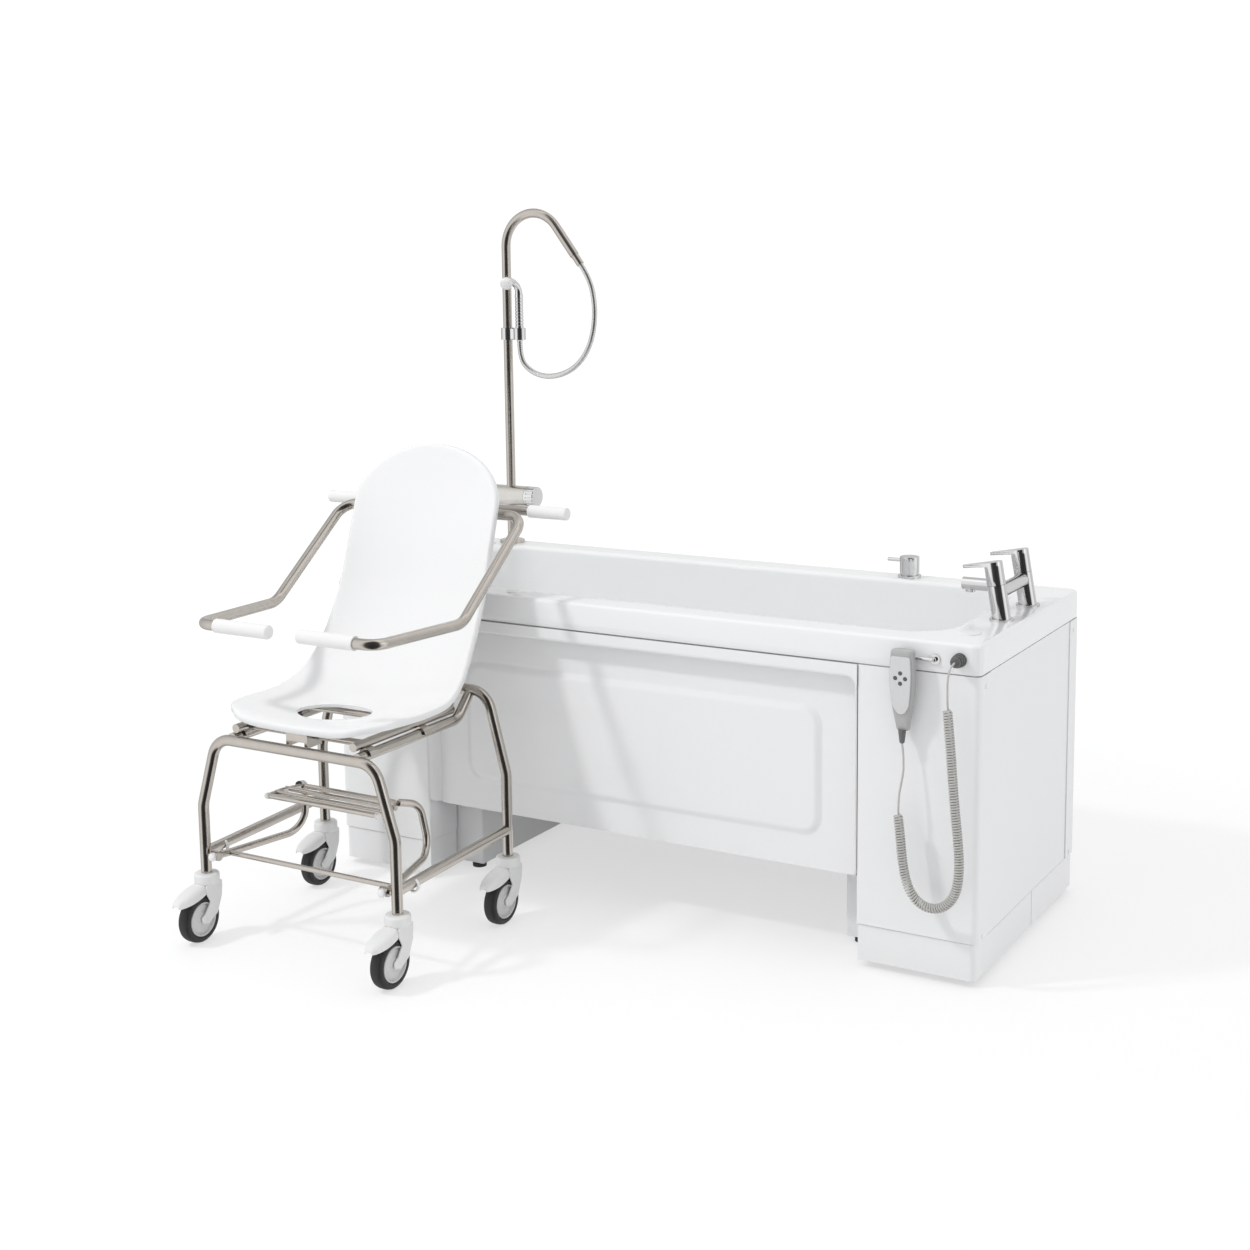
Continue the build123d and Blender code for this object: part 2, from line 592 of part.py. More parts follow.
def mixer_knob(side):
    """End knob of the mixer, fluted lightly for grip."""
    z = RIM_TOP + MIXER_HEIGHT
    x0 = RISER_X + side * (MIXER_BODY_HALF + 0.6)
    x1 = x0 + side * MIXER_KNOB
    knob = rod((x0, RISER_Y, z), (x1, RISER_Y, z), MIXER_R)
    far = knob.faces().sort_by(Axis.X)[-1 if side > 0 else 0]
    knob = fillet(far.edges(), 4)
    knob = knob - rod((x0 - side, RISER_Y, z), (x0 + side * 20, RISER_Y, z), 8 + RUN_GAP)
    flutes = []
    for i in range(16):
        angle = 2 * math.pi * i / 16
        y = RISER_Y + (MIXER_R + 0.8) * math.cos(angle)
        zf = z + (MIXER_R + 0.8) * math.sin(angle)
        flutes.append(rod((x0 + side * 6, y, zf), (x1 + side, y, zf), 2))
    return knob - flutes


HOLDER_X = RISER_X + HOLDER_OFFSET
HAND_BASE_Z = HOLDER_Z - 20
HAND_HEIGHT = 128.0


def shower_holder():
    """Clamp on the riser that holds the hand shower's cone."""
    clamp = Pos(RISER_X, RISER_Y, HOLDER_Z) * Cylinder(19, 32)
    cup = Pos(HOLDER_X, RISER_Y, HOLDER_Z) * Cylinder(17, 32)
    web = block(RISER_X, HOLDER_X, RISER_Y - 11, RISER_Y + 11, HOLDER_Z - 14, HOLDER_Z + 14)
    pipe = Pos(RISER_X, RISER_Y, HOLDER_Z) * Cylinder(COLUMN_PIPE_R + RUN_GAP, 40)
    cone = Pos(HOLDER_X, RISER_Y, HOLDER_Z) * Cylinder(12 + RUN_GAP, 40)
    return clamp + cup + web - pipe - cone


def hand_shower():
    """Hand shower: cone and handle, curved neck and round head facing the bath."""
    base = rod((HOLDER_X, RISER_Y, HAND_BASE_Z), (HOLDER_X, RISER_Y, HAND_BASE_Z + 40), 12)
    handle = rod((HOLDER_X, RISER_Y, HAND_BASE_Z + 40), (HOLDER_X, RISER_Y, HAND_BASE_Z + HAND_HEIGHT), 11)
    top = HAND_BASE_Z + HAND_HEIGHT
    neck = bent_tube([(HOLDER_X, RISER_Y, top - 1), (HOLDER_X, RISER_Y - 4, top + 30),
                      (HOLDER_X - 30, RISER_Y - 34, top + 36)], [24], 9.5)
    middle = Vector(HOLDER_X - 40, RISER_Y - 42, top + 26)
    axis = Vector(-0.45, -0.75, -0.5).normalized()
    head = rod(tuple(middle - axis * 14), tuple(middle + axis * 12), 21)
    head = fillet(head.edges(), 5)
    return base + handle + neck + head


def handset():
    """Wired control handset: tapered body with a hook over the hanger bar and button pockets."""
    front_y = HANDSET_BACK_Y - HANDSET_THICK
    low_z = HANDSET_TOP - HANDSET_LENGTH
    outline = [(-25, HANDSET_TOP), (25, HANDSET_TOP), (28, HANDSET_TOP - 50), (14, low_z), (-14, low_z),
               (-28, HANDSET_TOP - 50)]
    points = [(HANDSET_X + x, z) for x, z in outline]
    plan = Plane(origin=(0, HANDSET_BACK_Y, 0), x_dir=(1, 0, 0), z_dir=(0, -1, 0))
    body = extrude(plan * rounded_face(points, 7), HANDSET_THICK)
    rim = body.faces().sort_by(Axis.Y)[0].edges()
    body = fillet(rim, 3)
    for dx, dz in BUTTON_PLACES:
        start = (HANDSET_X + dx, front_y + BUTTON_POCKET, BUTTON_Z + dz)
        end = (HANDSET_X + dx, front_y - 5, BUTTON_Z + dz)
        body = body - rod(start, end, BUTTON_R + 0.2)
    bar_y = hanger_bar_y()
    back = block(HANDSET_X - 12, HANDSET_X + 12, HANDSET_BACK_Y, bar_y + 7, HANGER_Z + HANGER_R + 0.3, HANGER_Z + 9)
    lip = block(HANDSET_X - 12, HANDSET_X + 12, bar_y + HANGER_R + 0.4, bar_y + 7, HANGER_Z - 8, HANGER_Z + 9)
    stem_top = low_z + 2
    relief = loft([Pos(HANDSET_X, (front_y + HANDSET_BACK_Y) / 2, stem_top) * Circle(8),
                   Pos(HANDSET_X, (front_y + HANDSET_BACK_Y) / 2, stem_top - 28) * Circle(5)])
    return body + back + lip + relief


BUTTON_PLACES = [(0, BUTTON_SPREAD), (0, -BUTTON_SPREAD), (-BUTTON_SPREAD, 0), (BUTTON_SPREAD, 0)]


def button(place):
    """Round push button in its pocket."""
    front_y = HANDSET_BACK_Y - HANDSET_THICK
    x, z = HANDSET_X + place[0], BUTTON_Z + place[1]
    start = (x, front_y + BUTTON_POCKET - BUTTON_TRAVEL - 0.3, z)
    cap = rod(start, (x, front_y - BUTTON_PROUD, z), BUTTON_R)
    return fillet(cap.faces().sort_by(Axis.Y)[0].edges(), 0.6)


def hanger_bar_y():
    """Depth of the hanger bar in front of the rim."""
    return -HALF_W - 7.5


def hanger_bar():
    """Chrome bar along the rim that the handset hooks over."""
    y = hanger_bar_y()
    flange = rod((HANGER_X, -HALF_W, HANGER_Z), (HANGER_X, -HALF_W - 3, HANGER_Z), 11)
    post = rod((HANGER_X, -HALF_W - 1, HANGER_Z), (HANGER_X, y, HANGER_Z), HANGER_R + 1)
    corner = Pos(HANGER_X, y, HANGER_Z) * Sphere(HANGER_R + 1)
    bar = rod((HANGER_X, y, HANGER_Z), (HANDSET_X - 16, y, HANGER_Z), HANGER_R)
    return flange + post + corner + bar


def cable_gland():
    """Ribbed rubber gland where the lead leaves the rim."""
    y = -HALF_W
    body = rod((GLAND_X, y, GLAND_Z), (GLAND_X, y - 8, GLAND_Z), GLAND_R)
    body = body + rod((GLAND_X, y - 8, GLAND_Z), (GLAND_X, y - GLAND_LENGTH, GLAND_Z), GLAND_R - 7)
    for i in range(3):
        rib_y = y - 13 - 7 * i
        rib = rod((GLAND_X, rib_y, GLAND_Z), (GLAND_X, rib_y - 4, GLAND_Z), GLAND_R - 3 - 1.5 * i)
        body = body + rib
    return body


# Free cords: routes as points, each arc as large as its two runs allow
def arc_radii(points):
    """Radius at each corner of a route: 0.45 of the shorter run over the tangent of half the turn."""
    radii = []
    for a, b, c in zip(points, points[1:], points[2:]):
        first, second = Vector(*b) - Vector(*a), Vector(*c) - Vector(*b)
        half = math.radians(first.get_angle(second) / 2)
        radii.append(0.45 * min(first.length, second.length) / math.tan(half))
    return radii


def cord(name, points, radius):
    """A free cord as a tube along its route, with its radii, length and volume printed."""
    radii = arc_radii(points)
    path = FilletPolyline(*points, radius=radii)
    solid = sweep(Plane(origin=path @ 0, z_dir=path % 0) * Circle(radius), path=path)
    print(name, "radii", [round(r, 1) for r in radii], "length", round(path.length, 1),
          "volume share", round(solid.volume / (path.length * math.pi * radius ** 2), 4))
    return solid


def shower_hose():
    """Metal hose from the nut round to the foot of the hand shower."""
    bend_end, heading = riser_frame()[1:]
    exit_point = bend_end + heading * (RISER_TAIL + NUT_LENGTH)
    first = exit_point + heading * 45
    drop = [(282, 88), (279, 19), (259, -41), (220, -87), (168, -111), (114, -116), (67, -99)]
    middle = [(first.X, first.Z)] + [(RISER_X + x, HOLDER_Z + z) for x, z in drop]
    middle += [(HOLDER_X, HAND_BASE_Z - 46), (HOLDER_X, HAND_BASE_Z)]
    points = [tuple(exit_point)] + [(x, RISER_Y, z) for x, z in middle]
    return cord("shower_hose", points, HOSE_R)


CURL_TOP = (GLAND_X - 6, -HALF_W - 57, GLAND_Z - 88)
CURL_END = (HANDSET_X - 1, -HALF_W - 49, GLAND_Z - 330)


def lead_upper():
    """Straight lead from the gland down to the curls."""
    y, z = -HALF_W, GLAND_Z
    points = [(GLAND_X, y - GLAND_LENGTH, z), (GLAND_X - 0.5, y - 55, z - 2), (GLAND_X - 3, y - 63, z - 24),
              (GLAND_X - 5, y - 60, z - 54), CURL_TOP]
    return cord("lead_upper", points, LEAD_R)


def lead_lower():
    """Straight lead from the curls up into the handset's strain relief."""
    y = HANDSET_BACK_Y - HANDSET_THICK / 2
    low_z = HANDSET_TOP - HANDSET_LENGTH - 26
    front, z = -HALF_W, CURL_END[2]
    points = [CURL_END, (HANDSET_X, front - 46, z + 36), (HANDSET_X + 5, front - 37, z + 71),
              (HANDSET_X + 6, front - 31, z + 106), (HANDSET_X, y, low_z)]
    return cord("lead_lower", points, LEAD_R)


def biarc(p0, t0, p1, t1):
    """Two arcs tangent to each other and to both given directions."""
    v, t = p1 - p0, t0 + t1
    lead = 2 * (1 - t0.dot(t1))
    root = math.sqrt(v.dot(t) ** 2 + lead * v.dot(v))
    reach = (root - v.dot(t)) / lead
    middle = (p0 + t0 * reach + p1 - t1 * reach) * 0.5
    tangent = (p1 - t1 * reach) - (p0 + t0 * reach)
    return [TangentArc(p0, middle, tangent=t0), TangentArc(middle, p1, tangent=tangent)]


def coil_points():
    """Points and directions of the curly lead, two to a turn, round the loop it hangs in."""
    y, z = -HALF_W, GLAND_Z
    route = [CURL_TOP, (GLAND_X + 2, y - 57, z - 174), (GLAND_X + 11, y - 56, z - 284),
             (GLAND_X + 22, y - 54, z - 404), (GLAND_X + 6, y - 53, z - 492), (GLAND_X - 38, y - 52, z - 524),
             (HANDSET_X + 32, y - 51, z - 492), (HANDSET_X + 12, y - 51, z - 414), CURL_END]
    line = Spline(*route, tangents=[(0.05, 0, -1), (-0.1, 0, 1)])
    radius = CURL_OUTER_R - LEAD_R
    straight = 2 * LEAD_R / line.length
    steps = 2 * CURLS
    pitch = line.length * (1 - 2 * straight) / CURLS
    points, tangents = [line @ 0], [line % 0]
    points.append(line @ straight)
    tangents.append(line % straight)
    for i in range(1, steps):
        u = straight + (1 - 2 * straight) * i / steps
        along = line % u
        side = Vector(0, 1, 0)
        up = along.cross(side).normalized()
        side = up.cross(along).normalized()
        angle = math.pi * i
        out = side * math.cos(angle) + up * math.sin(angle)
        turn = up * math.cos(angle) - side * math.sin(angle)
        points.append(line @ u + out * radius)
        tangents.append((turn * (2 * math.pi * radius) + along * pitch).normalized())
    points += [line @ (1 - straight), line @ 1]
    tangents += [line % (1 - straight), line % 1]
    return points, tangents, line.length, pitch


def lead_coil():
    """The curly stretch of the lead as one unbroken tube."""
    points, tangents, length, pitch = coil_points()
    edges = [Line(points[0], points[1])]
    for i in range(1, len(points) - 2):
        edges += biarc(points[i], tangents[i], points[i + 1], tangents[i + 1])
    edges.append(Line(points[-2], points[-1]))
    path = Wire(edges)
    section = Plane(origin=points[0], z_dir=tangents[0]) * RegularPolygon(LEAD_R, 6)
    solid = sweep(section, path=path)
    samples = [path @ (i / (16 * CURLS)) for i in range(16 * CURLS + 1)]
    gap = min((samples[i] - samples[j]).length for i in range(0, len(samples), 2)
              for j in range(i + 9, min(i + 40, len(samples))))
    print("lead_coil", "along", round(length), "pitch", round(pitch, 2), "wire", round(path.length),
          "least gap to itself", round(gap - 2 * LEAD_R, 2))
    return solid


def chair(w, y, z):
    """A point of the chair: w to the right of its middle."""
    return (CHAIR_X + w, y, z)


def arch(y, kink_z, top_z):
    """One bent leg tube: up, in at the kink, across and down again."""
    left = [chair(-TRACK_HALF, y, CASTOR_TOP), chair(-TRACK_HALF, y, kink_z), chair(-ARCH_HALF, y, top_z)]
    right = [chair(ARCH_HALF, y, top_z), chair(TRACK_HALF, y, kink_z), chair(TRACK_HALF, y, CASTOR_TOP)]
    return bent_tube(left + right, [KINK_BEND_R, ARCH_BEND_R, ARCH_BEND_R, KINK_BEND_R], TUBE_R)


def upper_rail():
    """Chassis rail under the seat, rising at the back to the rear arch."""
    z = FRONT_ARCH_Z + 6
    points = [chair(UPPER_RAIL_W, FRONT_LEG_Y, z), chair(UPPER_RAIL_W, REAR_LEG_Y - 55, z),
              chair(UPPER_RAIL_W, REAR_LEG_Y, REAR_ARCH_Z - 4)]
    return bent_tube(points, [45], RAIL_R)


def chassis():
    """Welded chassis: two arches, side rails, footrest pins and castor spigots."""
    rear_z = LOWER_RAIL_Z + LOWER_RAIL_RISE
    lower = rod(chair(TRACK_HALF, FRONT_LEG_Y, LOWER_RAIL_Z), chair(TRACK_HALF, REAR_LEG_Y, rear_z), RAIL_R)
    pin = rod(chair(TRACK_HALF, FRONT_LEG_Y, FOOT_PIVOT_Z), chair(FOOT_W - 9, FRONT_LEG_Y, FOOT_PIVOT_Z), FOOT_PIN_R)
    side = [lower, upper_rail(), pin]
    for y in (FRONT_LEG_Y, REAR_LEG_Y):
        top, low = chair(TRACK_HALF, y, CASTOR_TOP), chair(TRACK_HALF, y, CASTOR_TOP - SPIGOT_LENGTH)
        side.append(rod(top, low, SPIGOT_R))
    frame = arch(FRONT_LEG_Y, FRONT_KINK_Z, FRONT_ARCH_Z) + arch(REAR_LEG_Y, REAR_KINK_Z, REAR_ARCH_Z)
    return frame + side + [flip_chair(piece) for piece in side]


def footrest():
    """Folding footrest: two bent side tubes on the front pins, cross rod and slats."""
    y0 = FRONT_LEG_Y
    side = bent_tube([chair(FOOT_W, y0, FOOT_PIVOT_Z), chair(FOOT_W - 7, y0 + 40, FOOT_PIVOT_Z - 2),
                      chair(FOOT_W - 59, y0 + 243, FOOT_PIVOT_Z + 3), chair(FOOT_W - 75, y0 + 230, SLAT_Z - 10),
                      chair(SLAT_HALF - 12, SLAT_REAR_Y - 6, SLAT_Z + 3)],
                     [60, 50, 38], FOOT_TUBE_R)
    eye = rod(chair(FOOT_W - 11, y0, FOOT_PIVOT_Z), chair(FOOT_W + 11, y0, FOOT_PIVOT_Z), 11)
    cap = rod(chair(FOOT_W, y0, FOOT_PIVOT_Z), chair(FOOT_W, y0 - 16, FOOT_PIVOT_Z), FOOT_TUBE_R)
    bore = rod(chair(FOOT_W - 9.5, y0, FOOT_PIVOT_Z), chair(FOOT_W + 12, y0, FOOT_PIVOT_Z), FOOT_PIN_R + RUN_GAP)
    half = side + eye + cap
    cross_y, cross_z = y0 + 36, FOOT_PIVOT_Z - 2
    cross = rod(chair(-FOOT_W + 8, cross_y, cross_z), chair(FOOT_W - 8, cross_y, cross_z), FOOT_ROD_R)
    right = [chair(SLAT_HALF, SLAT_FRONT_Y, SLAT_Z), chair(SLAT_HALF, y0 + 135, SLAT_Z),
             chair(SLAT_HALF - 20, SLAT_REAR_Y, SLAT_Z)]
    left = [chair(-SLAT_HALF + 20, SLAT_REAR_Y, SLAT_Z), chair(-SLAT_HALF, y0 + 135, SLAT_Z),
            chair(-SLAT_HALF, SLAT_FRONT_Y, SLAT_Z)]
    loop = bent_tube(right + left, [20, 16, 16, 20], SLAT_R)
    slats = [loop]
    for i in range(SLATS - 1):
        y = SLAT_FRONT_Y + (SLAT_REAR_Y - SLAT_FRONT_Y) * i / (SLATS - 1)
        reach = SLAT_HALF + (2 if i else -1)
        slats.append(rod(chair(-reach, y + (0 if i else 6), SLAT_Z), chair(reach, y + (0 if i else 6), SLAT_Z), SLAT_R))
    return half + flip_chair(half) + cross + slats - bore - flip_chair(bore)


# Seat shell stations from the front lip to the top of the back:
# depth, height, direction of the surface, half width, dish
SHELL_STATIONS = [
    (-917, 524, 38, 186, 2),
    (-888, 538, 8, 206, 7),
    (-808, 536, -3, 222, 16),
    (-708, 530, -2, 232, 25),
    (-628, 533, 14, 235, 31),
    (-563, 562, 38, 229, 35),
    (-498, 630, 58, 219, 37),
    (-433, 748, 67, 213, 37),
    (-393, 873, 74, 211, 34),
    (-360, 1003, 77, 209, 25),
    (-345, 1104, 82, 206, 10),
]


def shell_section(station):
    """Dished cross-section of the seat shell at one station."""
    y, z, angle, half, dish = station
    a = math.radians(angle)
    plane = Plane(origin=(CHAIR_X, y, z), x_dir=(1, 0, 0), z_dir=(0, -math.cos(a), -math.sin(a)))
    # local y of this plane points out of the seat surface towards the sitter
    inner = ThreePointArc((-half, dish), (0, 0), (half, dish))
    outer = ThreePointArc((half, dish - SHELL_THICK), (0, -SHELL_THICK), (-half, dish - SHELL_THICK))
    ends = [Line((half, dish), (half, dish - SHELL_THICK)), Line((-half, dish - SHELL_THICK), (-half, dish))]
    return plane * make_face(Wire([inner, ends[0], outer, ends[1]]))


def seat_shell():
    """One-piece moulded seat and back with the commode hole, lofted through its stations."""
    body = loft([shell_section(s) for s in SHELL_STATIONS])
    top_y, top_z, half = SHELL_STATIONS[-1][0], SHELL_STATIONS[-1][1], 209.0
    shoulder_z = top_z - 150
    front = Plane(origin=(CHAIR_X, 0, 0), x_dir=(1, 0, 0), z_dir=(0, -1, 0))
    window = Pos(0, 700) * Rectangle(600, 2 * (shoulder_z - 700))
    arch_top = Pos(0, shoulder_z) * Ellipse(half + 2, top_z - shoulder_z)
    keep_back = extrude(front * (window + arch_top), 1100)
    plan_front = SHELL_STATIONS[0][0]
    corner = 70.0
    length = 700.0
    keep_seat = Pos(CHAIR_X, plan_front + length / 2, 0) * RectangleRounded(2 * 238, length, corner)
    seat_zone = extrude(keep_seat, 1300)
    hole = extrude(Pos(CHAIR_X, HOLE_Y, 480) * Ellipse(HOLE_HALF_X, HOLE_HALF_Y), 100)
    shell = (body & keep_back & seat_zone) - hole
    pads = []
    for side in (-1, 1):
        x = CHAIR_X + side * SEAT_RAIL_W
        for y, top in ((-850, 537), (-660, 540)):
            pads.append(block(x - 9, x + 9, y - 11, y + 11, SEAT_RAIL_Z + SEAT_RAIL_R + SEAT_GAP, top))
        bx = CHAIR_X + side * BACK_TUBE_W
        pads.append(block(bx - 9, bx + 9, -409, BACK_TUBE_Y - BACK_TUBE_R - SEAT_GAP, 850, 874))
    return shell + pads


def seat_frame():
    """Stainless frame under the shell: rails, back tubes, push bar, arm pins and the docking block."""
    rail_start = chair(SEAT_RAIL_W, SHELL_STATIONS[0][0] + 20, SEAT_RAIL_Z)
    side = [rod(rail_start, chair(SEAT_RAIL_W, -535, SEAT_RAIL_Z), SEAT_RAIL_R)]
    side.append(bent_tube([chair(SEAT_RAIL_W, -537, SEAT_RAIL_Z), chair(BACK_TUBE_W, -520, SEAT_RAIL_Z + 3),
                           chair(BACK_TUBE_W, BACK_TUBE_Y, 820), chair(BACK_TUBE_W, BACK_TUBE_Y, PUSH_BAR_Z)],
                          [8, 60], BACK_TUBE_R))
    side.append(rod(chair(BACK_TUBE_W, BACK_TUBE_Y, PUSH_BAR_Z - 4), chair(BACK_TUBE_W, PUSH_BAR_Y, PUSH_BAR_Z), 8))
    pin_end = chair(ARM_PIVOT_W + 30, ARM_PIVOT_Y, ARM_PIVOT_Z)
    side.append(rod(chair(BACK_TUBE_W - 6, ARM_PIVOT_Y, ARM_PIVOT_Z), pin_end, ARM_PIN_R))
    for y in (FRONT_LEG_Y + 40, REAR_LEG_Y - 190):
        z = FRONT_ARCH_Z + 6
        ring = rod(chair(UPPER_RAIL_W, y - 12, z), chair(UPPER_RAIL_W, y + 12, z), TUBE_R + 4.5)
        bore = rod(chair(UPPER_RAIL_W, y - 14, z), chair(UPPER_RAIL_W, y + 14, z), TUBE_R + SEAT_GAP)
        below = block(*[CHAIR_X + UPPER_RAIL_W + d for d in (-30, 30)], y - 14, y + 14, z - 40, z)
        side.append(ring - bore - below)
    half = side[0] + side[1:]
    crossings = []
    for y in (-858, -665):
        crossings.append(rod(chair(-SEAT_RAIL_W, y, SEAT_RAIL_Z), chair(SEAT_RAIL_W, y, SEAT_RAIL_Z), 8))
    crossings.append(rod(chair(-BACK_TUBE_W, BACK_TUBE_Y, 838), chair(BACK_TUBE_W, BACK_TUBE_Y, 838), 8))
    ends = PUSH_HALF - 6
    crossings.append(rod(chair(-ends, PUSH_BAR_Y, PUSH_BAR_Z), chair(ends, PUSH_BAR_Y, PUSH_BAR_Z), PUSH_BAR_R))
    dock = block(CHAIR_X - 30, CHAIR_X + 30, -886, -836, 486, 515)
    socket = block(CHAIR_X - 22, CHAIR_X + 22, -890, -834, 480, 498)
    return half + flip_chair(half) + crossings + dock - socket


def push_grips():
    """White sleeves on the ends of the push bar."""
    inner = PUSH_HALF - PUSH_GRIP_LENGTH
    sleeve = rod(chair(inner, PUSH_BAR_Y, PUSH_BAR_Z), chair(PUSH_HALF, PUSH_BAR_Y, PUSH_BAR_Z), GRIP_R)
    sleeve = fillet(sleeve.faces().sort_by(Axis.X)[-1].edges(), 3)
    bore = rod(chair(inner - 1, PUSH_BAR_Y, PUSH_BAR_Z), chair(PUSH_HALF - 6 + SEAT_GAP, PUSH_BAR_Y, PUSH_BAR_Z),
               PUSH_BAR_R + RUN_GAP)
    sleeve = sleeve - bore
    return [sleeve, flip_chair(sleeve)]


def armrest():
    """Right armrest tube: out from its pivot, forward and down, along and across the front."""
    points = [chair(ARM_PIVOT_W, ARM_PIVOT_Y, ARM_PIVOT_Z), chair(ARM_OUT_W, ARM_PIVOT_Y, ARM_PIVOT_Z),
              chair(ARM_OUT_W + 3, ARM_LOW_Y, ARM_LOW_Z), chair(ARM_OUT_W - 18, ARM_FRONT_Y, ARM_FRONT_Z),
              chair(ARM_GRIP_INNER + 12, ARM_FRONT_Y, ARM_FRONT_Z)]
    tube = bent_tube(points, [45, 65, 38], TUBE_R)
    bore = rod(chair(ARM_PIVOT_W - 1, ARM_PIVOT_Y, ARM_PIVOT_Z),
               chair(ARM_PIVOT_W + 32, ARM_PIVOT_Y, ARM_PIVOT_Z), ARM_PIN_R + RUN_GAP)
    return tube - bore


def arm_grip():
    """White sleeve over the free end of the right armrest."""
    outer_end = chair(ARM_GRIP_OUTER, ARM_FRONT_Y, ARM_FRONT_Z)
    sleeve = rod(chair(ARM_GRIP_INNER, ARM_FRONT_Y, ARM_FRONT_Z), outer_end, GRIP_R + 1)
    sleeve = fillet(sleeve.faces().sort_by(Axis.X)[0].edges(), 4)
    bore_start = chair(ARM_GRIP_INNER + 12 - SEAT_GAP, ARM_FRONT_Y, ARM_FRONT_Z)
    return sleeve - rod(bore_start, chair(ARM_GRIP_OUTER + 1, ARM_FRONT_Y, ARM_FRONT_Z), TUBE_R + RUN_GAP)


def cheek_outline():
    """Side view of a castor cheek: collar, back edge, round the axle and up to the pedal pin."""
    top = CASTOR_TOP - COLLAR_HEIGHT
    return [(26, top), (24, 98), (8, 60), (-22, 43), (-42, 48), (-44, 62), (-30, 70), (-14, 92),
            (PEDAL_PIN_Y - 7, CROWN_BOTTOM), (PEDAL_PIN_Y - 7, top)]


def castor_fork():
    """Castor housing, wheel trailing to the front: collar, crown, two cheeks, axle and pedal pin."""
    top = CASTOR_TOP - SEAT_GAP
    collar = Pos(0, 0, top - COLLAR_HEIGHT / 2) * Cylinder(COLLAR_R, COLLAR_HEIGHT)
    collar = fillet(collar.edges(), 5)
    inner = WHEEL_WIDTH / 2 + CHEEK_GAP
    outer = inner + CHEEK
    crown = block(-outer, outer, PEDAL_PIN_Y + 9, 26, CROWN_BOTTOM, top - COLLAR_HEIGHT + 3)
    side = Plane(origin=(inner, 0, 0), x_dir=(0, 1, 0), z_dir=(1, 0, 0))
    cheek = extrude(side * rounded_face(cheek_outline(), 4), CHEEK)
    cheeks = [cheek, mirror(cheek, about=Plane.YZ)]
    axle = rod((-outer - 1, -TRAIL, WHEEL_R), (outer + 1, -TRAIL, WHEEL_R), AXLE_R)
    pin = rod((-outer, PEDAL_PIN_Y, PEDAL_PIN_Z), (outer, PEDAL_PIN_Y, PEDAL_PIN_Z), PEDAL_PIN_R)
    bore = Pos(0, 0, CASTOR_TOP - SPIGOT_LENGTH / 2) * Cylinder(SPIGOT_R + RUN_GAP, SPIGOT_LENGTH + 1)
    return collar + crown + cheeks + [axle, pin] - bore


def castor_wheel():
    """Hub with a thin web and rim, and the tyre round it."""
    half = WHEEL_WIDTH / 2
    hub_plan = [(AXLE_R + RUN_GAP, -half), (13, -half), (16, -9), (33, -9), (34, -half + 2), (HUB_R, -half + 2),
                (HUB_R, half - 2), (34, half - 2), (33, 9), (16, 9), (13, half), (AXLE_R + RUN_GAP, half)]
    tyre_plan = [(HUB_R, -half + 2), (HUB_R + 7, -half), (WHEEL_R - 5, -half + 3), (WHEEL_R, -half + 10),
                 (WHEEL_R, half - 10), (WHEEL_R - 5, half - 3), (HUB_R + 7, half), (HUB_R, half - 2)]
    turned = []
    for plan in (hub_plan, tyre_plan):
        face = Plane.XY * make_face(Polyline(*plan, close=True))
        solid = revolve(face, axis=Axis.Y)
        turned.append(Pos(0, -TRAIL, WHEEL_R) * Rot(0, 0, 90) * solid)
    return turned


def brake_pedal():
    """Brake pedal over the wheel, hinged in the cheeks, with a drooping tip."""
    half = WHEEL_WIDTH / 2 + CHEEK_GAP - 1
    top = CASTOR_TOP - COLLAR_HEIGHT
    outline = [(PEDAL_PIN_Y + 7, top - 2.5), (-55, top + 1), (-88, top - 5), (-PEDAL_REACH, 118),
               (-PEDAL_REACH + 4, 110), (-78, 115), (PEDAL_PIN_Y - 11, CROWN_BOTTOM + 0.5), (PEDAL_PIN_Y + 7, CROWN_BOTTOM + 1)]
    side = Plane(origin=(-half, 0, 0), x_dir=(0, 1, 0), z_dir=(1, 0, 0))
    body = extrude(side * rounded_face(outline, 2.5), 2 * half)
    tip = Pos(0, -PEDAL_REACH + 60, 0) * RectangleRounded(2 * half, 120, 12)
    body = body & extrude(tip, 200)
    bore = rod((-outer_limit(half), PEDAL_PIN_Y, PEDAL_PIN_Z), (outer_limit(half), PEDAL_PIN_Y, PEDAL_PIN_Z),
               PEDAL_PIN_R + RUN_GAP)
    return body - bore


def outer_limit(half):
    """A reach past both sides of a pedal."""
    return half + 2


CASTORS = {
    "front_left": (-TRACK_HALF, FRONT_LEG_Y),
    "front_right": (TRACK_HALF, FRONT_LEG_Y),
    "rear_left": (-TRACK_HALF, REAR_LEG_Y),
    "rear_right": (TRACK_HALF, REAR_LEG_Y),
}


def control_box():
    """Sealed control box on the channel of the base, wall side."""
    z0 = FRAME_BOTTOM + FRAME_TUBE
    return fillet(block(-330, -150, LINK_Y + 4, LINK_Y + LINK_WIDTH - 4, z0, z0 + 90).edges().filter_by(Axis.Z), 6)


